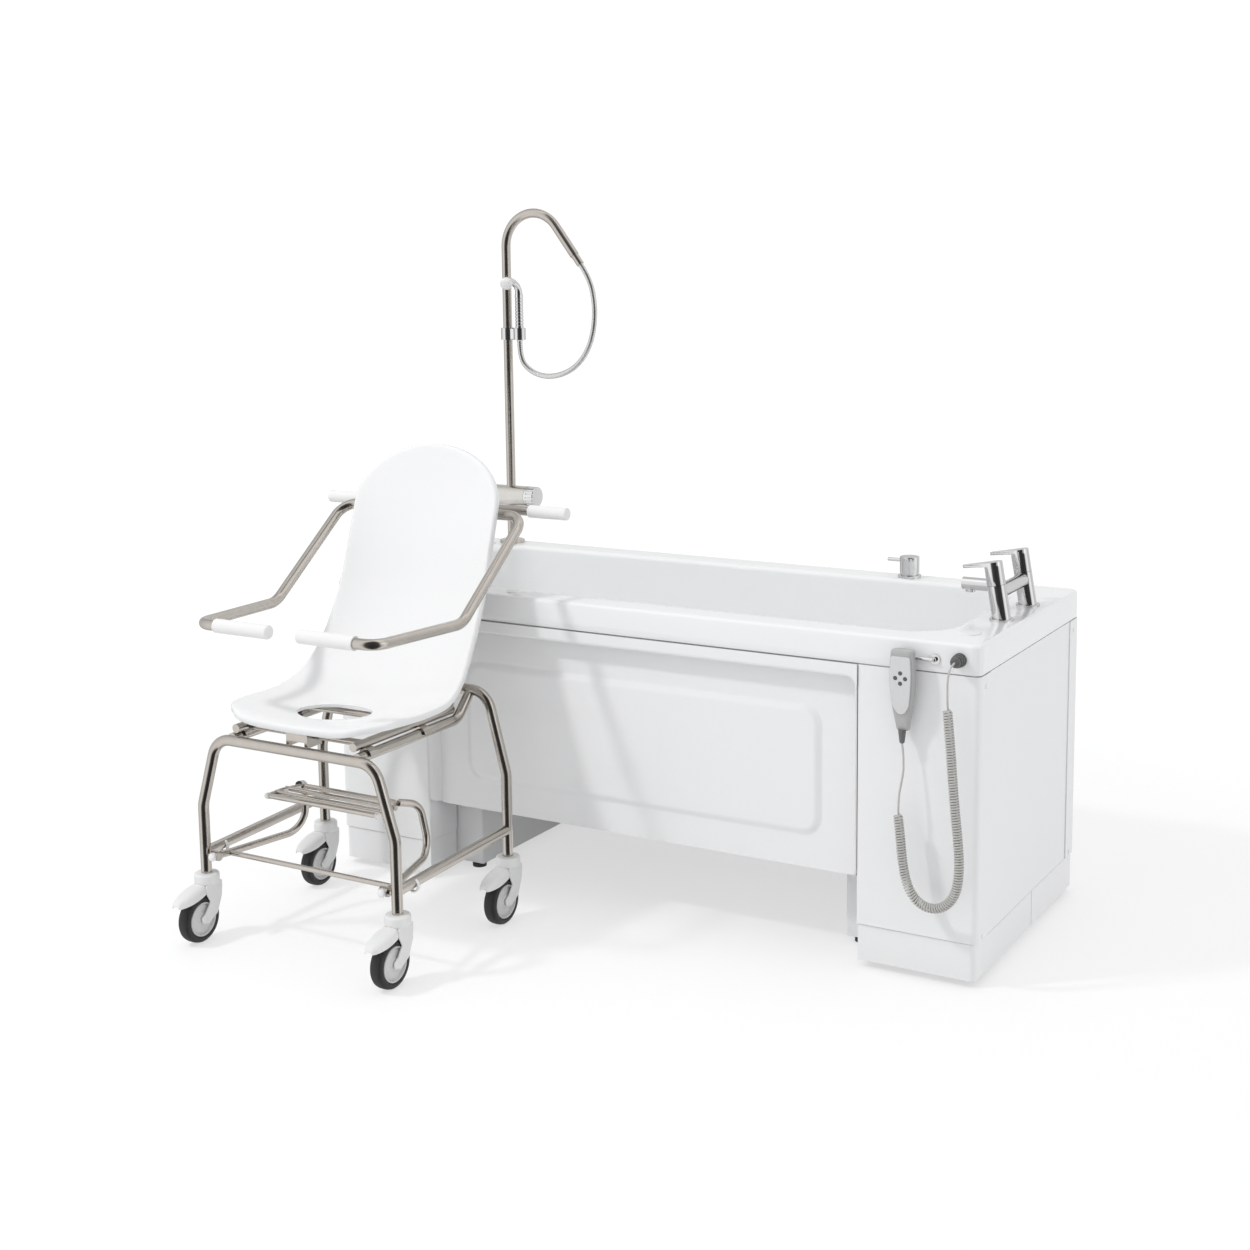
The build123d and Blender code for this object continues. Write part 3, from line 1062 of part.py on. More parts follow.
nodes = {
    "base_frame": base_frame(),
    "levelling_feet": levelling_feet(),
    "column_sleeves": column_sleeves(),
    "column_housings": column_housings(),
    "plinth_head_end": plinths(-1),
    "plinth_tap_end": plinths(1),
    "control_box": control_box(),
    "bath_tub": bath_tub(),
    "tub_cradle": cradle(),
    "front_apron": front_apron(),
    "rear_panel": rear_panel(),
    "front_cover_left": flip_x(front_cover()),
    "front_cover_right": front_cover(),
    "rear_covers": [rear_cover(), flip_x(rear_cover())],
    "end_panels": end_panels(),
    "waste_and_overflow": waste_and_overflow(),
    "blanking_caps": blanking_caps(),
    "bath_taps": bath_taps(),
    "tap_lever_front": tap_lever(TAP_FRONT_Y),
    "tap_lever_rear": tap_lever(TAP_REAR_Y),
    "rim_knob": diverter_knob(),
    "shower_column": shower_column(),
    "shower_mixer": shower_mixer(),
    "mixer_knob_left": mixer_knob(-1),
    "mixer_knob_right": mixer_knob(1),
    "shower_holder": shower_holder(),
    "hand_shower": hand_shower(),
    "shower_hose": shower_hose(),
    "hanger_bar": hanger_bar(),
    "cable_gland": cable_gland(),
    "control_handset": handset(),
    "button_up": button(BUTTON_PLACES[0]),
    "button_down": button(BUTTON_PLACES[1]),
    "button_left": button(BUTTON_PLACES[2]),
    "button_right": button(BUTTON_PLACES[3]),
    "lead_upper": lead_upper(),
    "lead_coil": lead_coil(),
    "lead_lower": lead_lower(),
    "chassis": chassis(),
    "footrest": footrest(),
    "seat_frame": seat_frame(),
    "seat_shell": seat_shell(),
    "push_grips": push_grips(),
    "armrest_right": armrest(),
    "armrest_left": flip_chair(armrest()),
    "arm_grip_right": arm_grip(),
    "arm_grip_left": flip_chair(arm_grip()),
}
for corner, (w, y) in CASTORS.items():
    place = Pos(CHAIR_X + w, y, 0)
    nodes["castor_fork_" + corner] = place * castor_fork()
    nodes["castor_wheel_" + corner] = [place * piece for piece in castor_wheel()]
    nodes["brake_pedal_" + corner] = place * brake_pedal()


# The chair is drawn with the bath's front face at DRAWN_FRONT_Y and steps back from a wider bath
PARKED = Pos(0, -HALF_W - DRAWN_FRONT_Y, 0)
CHAIR_NODES = ("chassis", "footrest", "seat_frame", "seat_shell", "push_grips", "armrest", "arm_grip", "castor",
               "brake_pedal")
for name, shape in nodes.items():
    if name.startswith(CHAIR_NODES) and -HALF_W != DRAWN_FRONT_Y:
        shape = [PARKED * item for item in (shape if isinstance(shape, (list, tuple)) else [shape])]
    pieces = []
    for item in shape if isinstance(shape, (list, tuple)) else [shape]:
        pieces += item.solids()
    export_step(Compound(children=pieces, label=name), "parts/" + name + ".step")
print(len(nodes), "nodes")
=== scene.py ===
import math

import bmesh
import bpy
from mathutils import Matrix, Vector


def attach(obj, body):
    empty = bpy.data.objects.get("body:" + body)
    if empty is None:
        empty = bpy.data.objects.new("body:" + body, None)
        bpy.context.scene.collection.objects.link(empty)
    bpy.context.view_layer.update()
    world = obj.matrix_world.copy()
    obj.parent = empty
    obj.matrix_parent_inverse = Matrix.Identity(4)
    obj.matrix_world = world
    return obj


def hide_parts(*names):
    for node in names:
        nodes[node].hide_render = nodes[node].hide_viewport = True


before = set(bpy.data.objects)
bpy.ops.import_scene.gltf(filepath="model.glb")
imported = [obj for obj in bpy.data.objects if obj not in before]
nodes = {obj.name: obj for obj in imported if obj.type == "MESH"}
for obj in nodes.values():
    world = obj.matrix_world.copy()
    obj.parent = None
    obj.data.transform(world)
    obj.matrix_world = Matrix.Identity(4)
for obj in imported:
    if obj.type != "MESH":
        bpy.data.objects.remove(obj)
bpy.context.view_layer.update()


# Camera.
# It stands to the right front of the bath, about as high as the shower's arm, and looks slightly
# down. The lens shift puts the object above the middle of the picture.
camera_data = bpy.data.cameras.new("camera")
camera_data.sensor_fit = "HORIZONTAL"
camera_data.sensor_width = 36.0
camera_data.lens = 52.88
camera_data.shift_y = -0.10
camera_data.clip_end = 60
camera = bpy.data.objects.new("camera", camera_data)
bpy.context.scene.collection.objects.link(camera)
bpy.context.scene.camera = camera
camera_place = (2.0983, -3.9093, 1.6049)
yaw, pitch, roll = 0.5317, 0.1453, -0.013
ahead = Vector((-math.sin(yaw) * math.cos(pitch), math.cos(yaw) * math.cos(pitch), -math.sin(pitch)))
level = Vector((math.cos(yaw), math.sin(yaw), 0))
upward = level.cross(ahead)
right = math.cos(roll) * level + math.sin(roll) * upward
up = -math.sin(roll) * level + math.cos(roll) * upward
turned = Matrix((right, up, -ahead)).transposed().to_4x4()
camera.matrix_world = Matrix.Translation(camera_place) @ turned


# Shower hose.
# A thin metal hose: it leaves the nut of the bent arm, hangs in a round loop and comes back up
# into the foot of the hand shower. It is seen from end to end.
def nurbs_route(name, points):
    """One open, smooth spline with the given points as control points."""
    data = bpy.data.curves.new(name, "CURVE")
    data.dimensions = "3D"
    spline = data.splines.new("NURBS")
    spline.points.add(len(points) - 1)
    for point, place in zip(spline.points, points):
        point.co = (*place, 1.0)
    spline.order_u = 3
    spline.use_endpoint_u = True
    spline.resolution_u = 12
    return data


def add_object(name, data):
    """Puts new data into the scene under its own name."""
    piece = bpy.data.objects.new(name, data)
    bpy.context.scene.collection.objects.link(piece)
    return piece


def read_line(data):
    """Points along a route's own smooth line."""
    holder = bpy.data.objects.new("route", data)
    bpy.context.scene.collection.objects.link(holder)
    mesh = bpy.data.meshes.new_from_object(holder)
    line = [vertex.co.copy() for vertex in mesh.vertices]
    bpy.data.objects.remove(holder)
    bpy.data.meshes.remove(mesh)
    return line


def give_thickness(data, radius):
    """Makes a route a round tube; the radius sits on its points, so its box stays tight too."""
    for point in data.splines[0].points:
        point.radius = radius
    data.bevel_depth = 1.0


hose_y, hose_radius = 0.305, 0.0073
hose_places = [(-0.5091, 1.5190), (-0.4820, 1.4831), (-0.466, 1.418), (-0.469, 1.349), (-0.489, 1.289),
               (-0.528, 1.243), (-0.580, 1.219), (-0.634, 1.214), (-0.681, 1.231), (-0.709, 1.264),
               (-0.709, 1.310)]
hose_points = [(x, hose_y, z) for x, z in hose_places]
hose_data = nurbs_route("hose", hose_points)
hose_line = read_line(hose_data)
give_thickness(hose_data, hose_radius)
hose_data.bevel_resolution = 6
hose = add_object("shower_hose_line", hose_data)
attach(hose, "tub_carriage")
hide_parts("shower_hose")


# Handset lead.
# One grey lead: straight out of the gland, wound into a curly stretch that hangs in a U beside
# the handset, then straight again up into the handset's strain relief. Seen from end to end.
lead_radius, coil_radius = 0.0023, 0.0086
coil_turns, per_turn = 118, 14
lead_top = [(0.805, -0.379, 0.714), (0.8045, -0.400, 0.712), (0.802, -0.408, 0.690),
            (0.800, -0.405, 0.660), (0.799, -0.402, 0.626)]
coil_axis = [(0.799, -0.402, 0.626), (0.803, -0.402, 0.585), (0.809, -0.402, 0.520),
             (0.814, -0.4015, 0.455), (0.820, -0.400, 0.390), (0.827, -0.399, 0.325),
             (0.829, -0.3985, 0.272), (0.822, -0.398, 0.226), (0.800, -0.397, 0.194),
             (0.767, -0.397, 0.182), (0.734, -0.3965, 0.194), (0.712, -0.396, 0.226),
             (0.702, -0.396, 0.272), (0.697, -0.396, 0.325), (0.689, -0.394, 0.384)]
lead_foot = [(0.689, -0.394, 0.384), (0.690, -0.391, 0.420), (0.695, -0.382, 0.455),
             (0.696, -0.376, 0.490), (0.690, -0.3745, 0.530)]
axis_line = read_line(nurbs_route("coil_axis", coil_axis))
reach = [0.0]
for a, b in zip(axis_line, axis_line[1:]):
    reach.append(reach[-1] + (b - a).length)


def on_axis(distance):
    """Point and direction of the coil's axis at a distance along it."""
    distance = min(max(distance, 0.0), reach[-1])
    for i in range(1, len(reach)):
        if distance <= reach[i]:
            share = (distance - reach[i - 1]) / (reach[i] - reach[i - 1])
            heading = (axis_line[i] - axis_line[i - 1]).normalized()
            if 1 < i < len(reach) - 1:
                before = (axis_line[i - 1] - axis_line[i - 2]).normalized()
                heading = before.lerp(heading, share).normalized()
            return axis_line[i - 1].lerp(axis_line[i], share), heading


curl_points = []
lead_in = 0.006
curl_steps = coil_turns * per_turn
swell_steps = 0.6 * per_turn
for step in range(curl_steps + 1):
    share = step / curl_steps
    centre, heading = on_axis(lead_in + (reach[-1] - 2 * lead_in) * share)
    side = Vector((0, 1, 0))
    over = heading.cross(side).normalized()
    side = over.cross(heading).normalized()
    angle = 2 * math.pi * step / per_turn
    swell = min(1.0, 0.25 + step / swell_steps, 0.25 + (curl_steps - step) / swell_steps)
    out = side * math.cos(angle) + over * math.sin(angle)
    curl_points.append(centre + out * coil_radius * swell)
lead_points = lead_top[:-1] + [tuple(point) for point in curl_points] + lead_foot[1:]
lead_data = nurbs_route("lead", lead_points)
lead_data.splines[0].resolution_u = 2
lead_line = read_line(lead_data)
give_thickness(lead_data, lead_radius)
lead_data.bevel_resolution = 2
lead = add_object("handset_lead", lead_data)
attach(lead, "tub_carriage")
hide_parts("lead_upper", "lead_coil", "lead_lower")


# Surfaces.
# White moulded plastic and acrylic, brushed stainless tube, polished chrome, pale grey castor
# plastic and black tyre rubber. Each has its own fine mottling in colour, gloss or relief.
# The chrome's colour also turns dark grey towards its grazing edges, which is a painted dark reflection.
def new_material(name, colour, roughness, metallic=0.0, coat=0.0, spread=0.0, scale=60.0, bump=0.0,
                 stretch=(1, 1, 1), rough_spread=0.0):
    """Principled material with object-space noise in its colour, roughness and relief."""
    made = bpy.data.materials.new(name)
    made.use_nodes = True
    tree = made.node_tree
    shader = tree.nodes["Principled BSDF"]
    shader.inputs["Metallic"].default_value = metallic
    shader.inputs["Coat Weight"].default_value = coat
    shader.inputs["Coat Roughness"].default_value = 0.08
    where = tree.nodes.new("ShaderNodeTexCoord")
    mapping = tree.nodes.new("ShaderNodeMapping")
    mapping.inputs["Scale"].default_value = stretch
    noise = tree.nodes.new("ShaderNodeTexNoise")
    noise.inputs["Scale"].default_value = scale
    noise.inputs["Detail"].default_value = 4.0
    tree.links.new(where.outputs["Object"], mapping.inputs["Vector"])
    tree.links.new(mapping.outputs["Vector"], noise.inputs["Vector"])
    ramp = tree.nodes.new("ShaderNodeValToRGB")
    ramp.color_ramp.elements[0].position = 0.3
    ramp.color_ramp.elements[1].position = 0.7
    ramp.color_ramp.elements[0].color = (*[c * (1 - spread) for c in colour], 1)
    ramp.color_ramp.elements[1].color = (*[min(1, c * (1 + spread)) for c in colour], 1)
    tree.links.new(noise.outputs["Fac"], ramp.inputs["Fac"])
    tree.links.new(ramp.outputs["Color"], shader.inputs["Base Color"])
    rough = tree.nodes.new("ShaderNodeMapRange")
    rough.inputs["To Min"].default_value = roughness * (1 - rough_spread)
    rough.inputs["To Max"].default_value = roughness * (1 + rough_spread)
    tree.links.new(noise.outputs["Fac"], rough.inputs["Value"])
    tree.links.new(rough.outputs["Result"], shader.inputs["Roughness"])
    if bump:
        relief = tree.nodes.new("ShaderNodeBump")
        relief.inputs["Strength"].default_value = bump
        relief.inputs["Distance"].default_value = 0.0004
        tree.links.new(noise.outputs["Fac"], relief.inputs["Height"])
        tree.links.new(relief.outputs["Normal"], shader.inputs["Normal"])
    return made


acrylic = new_material("acrylic", (0.865, 0.868, 0.87), 0.18, coat=0.5, spread=0.004, scale=9,
                       rough_spread=0.03)
panel = new_material("panel", (0.85, 0.852, 0.854), 0.32, coat=0.25, spread=0.004, scale=120, bump=0.02,
                     rough_spread=0.04)
shell = new_material("shell", (0.86, 0.86, 0.86), 0.27, coat=0.3, spread=0.005, scale=140, bump=0.02,
                     rough_spread=0.03)
grip = new_material("grip", (0.84, 0.84, 0.83), 0.42, spread=0.012, scale=160, bump=0.15,
                    rough_spread=0.15)
stainless = new_material("stainless", (0.53, 0.495, 0.455), 0.20, metallic=1, spread=0.04, scale=35,
                         rough_spread=0.2)
satin_steel = new_material("satin_steel", (0.66, 0.64, 0.61), 0.24, metallic=1, spread=0.03, scale=45,
                           rough_spread=0.2)
chrome = new_material("chrome", (0.80, 0.80, 0.80), 0.07, metallic=1, spread=0.01, scale=40,
                      rough_spread=0.3)
# Painted dark reflection: the chrome's colour is mixed towards dark grey where its surface turns away from
# the view, in place of dark surroundings mirrored at its edges.
polish = chrome.node_tree
painted_reflection_mask = polish.nodes.new("ShaderNodeLayerWeight")
painted_reflection_mask.inputs["Blend"].default_value = 0.28
painted_dark_reflection = polish.nodes.new("ShaderNodeMix")
painted_dark_reflection.data_type = "RGBA"
painted_dark_reflection.inputs["B"].default_value = (0.20, 0.20, 0.20, 1)
chrome_shader = polish.nodes["Principled BSDF"]
chrome_colour = chrome_shader.inputs["Base Color"].links[0].from_socket
polish.links.new(painted_reflection_mask.outputs["Facing"], painted_dark_reflection.inputs["Factor"])
polish.links.new(chrome_colour, painted_dark_reflection.inputs["A"])
polish.links.new(painted_dark_reflection.outputs["Result"], chrome_shader.inputs["Base Color"])
castor = new_material("castor_plastic", (0.80, 0.80, 0.795), 0.38, spread=0.012, scale=120, bump=0.08,
                      rough_spread=0.15)
hub_grey = new_material("hub_plastic", (0.68, 0.68, 0.67), 0.42, spread=0.015, scale=130, bump=0.08,
                        rough_spread=0.15)
tyre = new_material("tyre_rubber", (0.026, 0.026, 0.027), 0.62, spread=0.2, scale=260, bump=0.25,
                    rough_spread=0.15)
gland_rubber = new_material("gland_rubber", (0.11, 0.11, 0.11), 0.40, spread=0.08, scale=220, bump=0.1)
lead_grey = new_material("lead_grey", (0.52, 0.51, 0.49), 0.42, spread=0.05, scale=90, bump=0.05)
hose_metal = new_material("hose_metal", (0.66, 0.66, 0.65), 0.28, metallic=0.9, spread=0.08, scale=200,
                          rough_spread=0.3)
handset_grey = new_material("handset_grey", (0.50, 0.50, 0.50), 0.42, spread=0.02, scale=180, bump=0.08)
button_dark = new_material("button_dark", (0.10, 0.10, 0.11), 0.4, spread=0.05, scale=150, bump=0.05)
painted = new_material("painted_steel", (0.60, 0.61, 0.62), 0.40, spread=0.03, scale=150, bump=0.1)
rubber = new_material("foot_rubber", (0.05, 0.05, 0.05), 0.65, spread=0.15, scale=200, bump=0.2)
box_grey = new_material("box_grey", (0.16, 0.16, 0.17), 0.5, spread=0.05, scale=140, bump=0.15)

hose.data.materials.append(hose_metal)
lead.data.materials.append(lead_grey)

corners = ("front_left", "front_right", "rear_left", "rear_right")
coats = {
    acrylic: ["bath_tub", "blanking_caps"],
    panel: ["plinth_head_end", "plinth_tap_end", "front_cover_left", "front_cover_right", "rear_covers",
            "end_panels", "front_apron", "rear_panel", "column_housings"],
    shell: ["seat_shell"],
    grip: ["push_grips", "arm_grip_left", "arm_grip_right"],
    stainless: ["chassis", "footrest", "seat_frame", "armrest_left", "armrest_right", "shower_column"],
    satin_steel: ["column_sleeves", "shower_mixer"],
    chrome: ["bath_taps", "tap_lever_front", "tap_lever_rear", "rim_knob", "mixer_knob_left",
             "mixer_knob_right", "hanger_bar", "shower_holder", "hand_shower", "waste_and_overflow"],
    castor: [part + corner for part in ("castor_fork_", "brake_pedal_") for corner in corners],
    tyre: ["castor_wheel_" + corner for corner in corners],
    gland_rubber: ["cable_gland"],
    handset_grey: ["control_handset"],
    button_dark: ["button_" + way for way in ("up", "down", "left", "right")],
    painted: ["base_frame", "tub_cradle"],
    rubber: ["levelling_feet"],
    box_grey: ["control_box"],
}


def smooth_group(angle):
    """Geometry nodes that shade a solid smooth and keep its edges sharp above an angle."""
    tree = bpy.data.node_groups.new("smooth_by_angle", "GeometryNodeTree")
    tree.interface.new_socket("Geometry", in_out="INPUT", socket_type="NodeSocketGeometry")
    tree.interface.new_socket("Geometry", in_out="OUTPUT", socket_type="NodeSocketGeometry")
    start = tree.nodes.new("NodeGroupInput")
    end = tree.nodes.new("NodeGroupOutput")
    faces = tree.nodes.new("GeometryNodeSetShadeSmooth")
    edges = tree.nodes.new("GeometryNodeSetShadeSmooth")
    edges.domain = "EDGE"
    edges.inputs["Shade Smooth"].default_value = False
    turn = tree.nodes.new("GeometryNodeInputMeshEdgeAngle")
    test = tree.nodes.new("FunctionNodeCompare")
    test.operation = "GREATER_THAN"
    test.inputs[1].default_value = angle
    tree.links.new(turn.outputs["Unsigned Angle"], test.inputs[0])
    tree.links.new(start.outputs[0], faces.inputs["Geometry"])
    tree.links.new(faces.outputs[0], edges.inputs["Geometry"])
    tree.links.new(test.outputs[0], edges.inputs["Selection"])
    tree.links.new(edges.outputs[0], end.inputs[0])
    return tree


shading = smooth_group(math.radians(32))


def smooth(piece):
    """Shades a piece smooth between its sharp edges, by a modifier."""
    finish = piece.modifiers.new("smooth", "NODES")
    finish.node_group = shading


for surface, names in coats.items():
    for name in names:
        node = nodes[name]
        node.data.materials.clear()
        node.data.materials.append(surface)
        weld = node.modifiers.new("weld", "WELD")
        weld.merge_threshold = 0.00001
        smooth(node)


# Tub.
# One moulded acrylic shell: a deep skirt with softly rounded edges, a flat deck, and a basin with a
# rounded lip and foot. The basin slopes at the head end, more steeply at the taps, and narrows a
# little past its middle.
corner_steps, side_steps = 14, 26
tub_half_x, tub_half_y, rim_z = 0.850, 0.345, 0.748
waist_x, waist_step, waist_run = 0.0, 0.016, 0.10


def rounded_ring(x0, x1, half_y, radius, z):
    """Points of a rounded rectangle at height z, counted the same way for every size."""
    ring = []
    middles = [(x1 - radius, half_y - radius), (x0 + radius, half_y - radius),
               (x0 + radius, radius - half_y), (x1 - radius, radius - half_y)]
    for i, (cx, cy) in enumerate(middles):
        for step in range(corner_steps + 1):
            angle = math.radians(90 * i + 90 * step / corner_steps)
            ring.append(Vector((cx + radius * math.cos(angle), cy + radius * math.sin(angle), z)))
        nx, ny = middles[(i + 1) % 4]
        angle = math.radians(90 * (i + 1))
        following = Vector((nx + radius * math.cos(angle), ny + radius * math.sin(angle), z))
        last = ring[-1].copy()
        for step in range(1, side_steps):
            ring.append(last.lerp(following, step / side_steps))
    return ring


def finished(name, work, material):
    """Closes a bmesh job: outward faces, smooth shading, its own object and material."""
    bmesh.ops.recalc_face_normals(work, faces=work.faces)
    for face in work.faces:
        face.smooth = True
    mesh = bpy.data.meshes.new(name)
    work.to_mesh(mesh)
    work.free()
    mesh.materials.append(material)
    return add_object(name, mesh)


def skin(name, rings, material, cap=True):
    """A mesh over successive closed rings of points, capped at both ends or left open."""
    work = bmesh.new()
    rows = [[work.verts.new(point) for point in ring] for ring in rings]
    for low, high in zip(rows, rows[1:]):
        for i in range(len(low)):
            j = (i + 1) % len(low)
            work.faces.new((low[i], low[j], high[j], high[i]))
    if cap:
        work.faces.new(reversed(rows[0]))
        work.faces.new(rows[-1])
    bmesh.ops.remove_doubles(work, verts=work.verts, dist=0.000002)
    return finished(name, work, material)


def eased(share):
    """Smooth step from 0 to 1."""
    share = min(max(share, 0.0), 1.0)
    return share * share * (3 - 2 * share)


def basin_ring(depth, grow, z):
    """Outline of the basin at a depth below the rim, grown outwards."""
    ease = (depth / 0.418) ** 1.6
    x0 = -0.745 + 0.190 * ease - grow
    x1 = 0.735 - 0.095 * ease + grow
    half_y = 0.258 - 0.093 * ease + grow
    ring = rounded_ring(x0, x1, half_y, 0.105 + 0.5 * grow, z)
    for point in ring:
        share = eased((point.x - waist_x) / waist_run + 0.5)
        point.y += math.copysign(waist_step * (0.5 - share), point.y) * (1 - 0.6 * ease)
    return ring


tub_rings = []
for x, y, z in ((0.845, 0.340, 0.6822), (0.849, 0.344, 0.6822)):
    tub_rings.append(rounded_ring(-x, x, y, 0.016, z))
rim_edge, rim_corner = 0.009, 0.020
for z in (0.6835, 0.700, 0.720, rim_z - rim_edge):
    tub_rings.append(rounded_ring(-tub_half_x, tub_half_x, tub_half_y, rim_corner, z))
for step in range(1, 7):
    angle = math.radians(90 * step / 6)
    inset = rim_edge * (1 - math.cos(angle))
    z = rim_z - rim_edge + rim_edge * math.sin(angle)
    tub_rings.append(rounded_ring(-tub_half_x + inset, tub_half_x - inset, tub_half_y - inset,
                                  rim_corner - 0.6 * inset, z))
lip, foot, foot_depth = 0.013, 0.0730, 0.345
tub_rings.append(basin_ring(0, lip + 0.030, rim_z))
for step in range(9):
    angle = math.radians(90 * step / 8)
    tub_rings.append(basin_ring(0, lip * (1 - math.sin(angle)), rim_z - lip * (1 - math.cos(angle))))
for depth in (0.03, 0.06, 0.10, 0.15, 0.20, 0.25, 0.30, foot_depth):
    tub_rings.append(basin_ring(depth, 0, rim_z - depth))
for step in range(1, 10):
    angle = math.radians(90 * step / 9)
    z = rim_z - foot_depth - foot * math.sin(angle)
    tub_rings.append(basin_ring(foot_depth, -0.075 * (1 - math.cos(angle)), z))
tub_rings.append(basin_ring(foot_depth, -0.110, 0.330))
tub = skin("tub_shell", tub_rings, acrylic, cap=False)
work = bmesh.new()
work.from_mesh(tub.data)
floor_edges = [e for e in work.edges if e.is_boundary and e.verts[0].co.z < 0.4]
bmesh.ops.contextual_create(work, geom=floor_edges)
work.to_mesh(tub.data)
work.free()
thick = tub.modifiers.new("wall", "SOLIDIFY")
thick.thickness = 0.005
thick.offset = -1
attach(tub, "tub_carriage")
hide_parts("bath_tub")


# Chair shell.
# Seat and back in one moulding: a broad dished seat with a rounded, turned-down front, an oval
# commode hole, and a tall back that ends in an arch. Its whole edge is rolled back.
# Its stations run from the front edge up: y, z, tilt in degrees, half width and depth of the dish.
chair_x = -0.530
stations = [(-0.907, 0.536, 20, 0.214, 0.015), (-0.882, 0.541, 6, 0.222, 0.018),
            (-0.808, 0.537, -3, 0.229, 0.021), (-0.708, 0.530, -2, 0.232, 0.025),
            (-0.628, 0.533, 14, 0.235, 0.031), (-0.563, 0.562, 38, 0.229, 0.035),
            (-0.498, 0.630, 58, 0.219, 0.037), (-0.433, 0.748, 67, 0.213, 0.037),
            (-0.393, 0.873, 74, 0.211, 0.034), (-0.360, 1.003, 77, 0.209, 0.025),
            (-0.345, 1.104, 82, 0.206, 0.010)]
shell_run = [0.0]
for a, b in zip(stations, stations[1:]):
    shell_run.append(shell_run[-1] + math.hypot(b[0] - a[0], b[1] - a[1]))


def shell_at(run):
    """Station values at a distance along the shell, by a smooth curve through the stations."""
    run = min(max(run, 0.0), shell_run[-1])
    i = max(k for k in range(len(stations) - 1) if shell_run[k] <= run)
    t = (run - shell_run[i]) / (shell_run[i + 1] - shell_run[i])
    p0, p1 = stations[max(i - 1, 0)], stations[i]
    p2, p3 = stations[i + 1], stations[min(i + 2, len(stations) - 1)]
    values = []
    for a, b, c, d in zip(p0, p1, p2, p3):
        values.append(0.5 * (2 * b + (c - a) * t + (2 * a - 5 * b + 4 * c - d) * t * t
                             + (3 * b - a - 3 * c + d) * t ** 3))
    return values


def shell_point(w, run, lift=0.0):
    """Point of the sitter's side at w from the middle and run from the front edge."""
    y, z, angle, half, dish = shell_at(run)
    angle = math.radians(angle)
    out = dish * (w / half) ** 2 + lift
    return Vector((chair_x + w, y - math.sin(angle) * out, z + math.cos(angle) * out))


front_corner, corner_half, corner_cut = 0.095, 0.226, 0.130
arch_z, arch_half, arch_rise, arch_last = 0.954, 0.210, 0.150, 0.1495


def shell_half(run):
    """Half width of the moulding, drawn in at the front corners and over the arch."""
    y, z, angle, half, dish = shell_at(run)
    if run < front_corner:
        half = min(half, corner_half - corner_cut * (1 - math.sqrt(1 - (1 - run / front_corner) ** 2)))
    if z > arch_z:
        half = min(half, arch_half * math.sqrt(max(0.0, 1 - ((z - arch_z) / arch_rise) ** 2)))
    return half


shell_outline = []
runs = [front_corner * (1 - math.cos(math.radians(9 * k))) for k in range(11)]
runs += [front_corner + (shell_run[-1] - arch_rise - front_corner) * k / 34 for k in range(1, 35)]
runs += [shell_run[-1] - arch_rise + arch_last * math.sin(math.radians(90 * k / 14))
         for k in range(1, 15)]
for run in runs:
    shell_outline.append((shell_half(run), run))
for k in range(9, 0, -1):
    shell_outline.append((shell_half(runs[-1]) * k / 10, runs[-1]))
outline = shell_outline + [(-w, run) for w, run in reversed(shell_outline)]
front_half = shell_half(0.0)
for k in range(1, 12):
    outline.append((-front_half + 2 * front_half * k / 12, 0.0))
spine_low, spine_high = 0.16, shell_run[-1] - 0.19


def from_spine(w, run, share, lift):
    """Point at a share of the way from the moulding's spine out to its outline."""
    spine = min(max(run, spine_low), spine_high)
    return shell_point(w * share, spine + (run - spine) * share, lift)


def drawn_in(inset, drop):
    """Ring of the outline, moved in towards the spine and back from the sitter's side."""
    ring = []
    for w, run in outline:
        size = math.hypot(w, run - min(max(run, spine_low), spine_high))
        ring.append(from_spine(w, run, (size - inset) / size, -drop))
    return ring


rolls = [0.0, 0.12, 0.24, 0.36, 0.48, 0.60, 0.70, 0.79, 0.86, 0.91]
shell_thickness = 0.007
edge_r = 0.009
edge_steps = [(edge_r * (1 - math.sin(angle)), edge_r * (1 - math.cos(angle)))
              for angle in [math.radians(15 * step) for step in range(7)]]
edge_steps += [(0.0, 0.014), (0.001, 0.0165), (0.0035, 0.0165), (0.0045, 0.014), (0.0055, 0.008)]
shell_rings = [[from_spine(w, run, share, 0.0) for w, run in outline] for share in rolls]
shell_rings += [drawn_in(inset, drop) for inset, drop in edge_steps]
shell_rings += [[from_spine(w, run, share, -shell_thickness) for w, run in outline]
                for share in reversed(rolls)]
chair_shell = skin("chair_shell", shell_rings, shell, cap=False)
hole_half_x, hole_half_y, hole_y = 0.088, 0.080, -0.752
hole_rings = []
for z in (0.49, 0.59):
    hole_rings.append([Vector((chair_x + hole_half_x * math.cos(a), hole_y + hole_half_y * math.sin(a), z))
                       for a in [2 * math.pi * k / 72 for k in range(72)]])
hole_cutter = skin("hole_cutter", hole_rings, shell)
cut = chair_shell.modifiers.new("hole", "BOOLEAN")
cut.object = hole_cutter
cut.operation = "DIFFERENCE"
cut.solver = "EXACT"
soft = chair_shell.modifiers.new("hole_edge", "BEVEL")
soft.width = 0.0025
soft.segments = 3
soft.limit_method = "ANGLE"
soft.angle_limit = math.radians(50)
bpy.context.view_layer.update()
ready = bpy.data.meshes.new_from_object(chair_shell.evaluated_get(bpy.context.evaluated_depsgraph_get()))
chair_shell.modifiers.clear()
chair_shell.data = ready
bpy.data.objects.remove(hole_cutter)
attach(chair_shell, "seat_unit")
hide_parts("seat_shell")


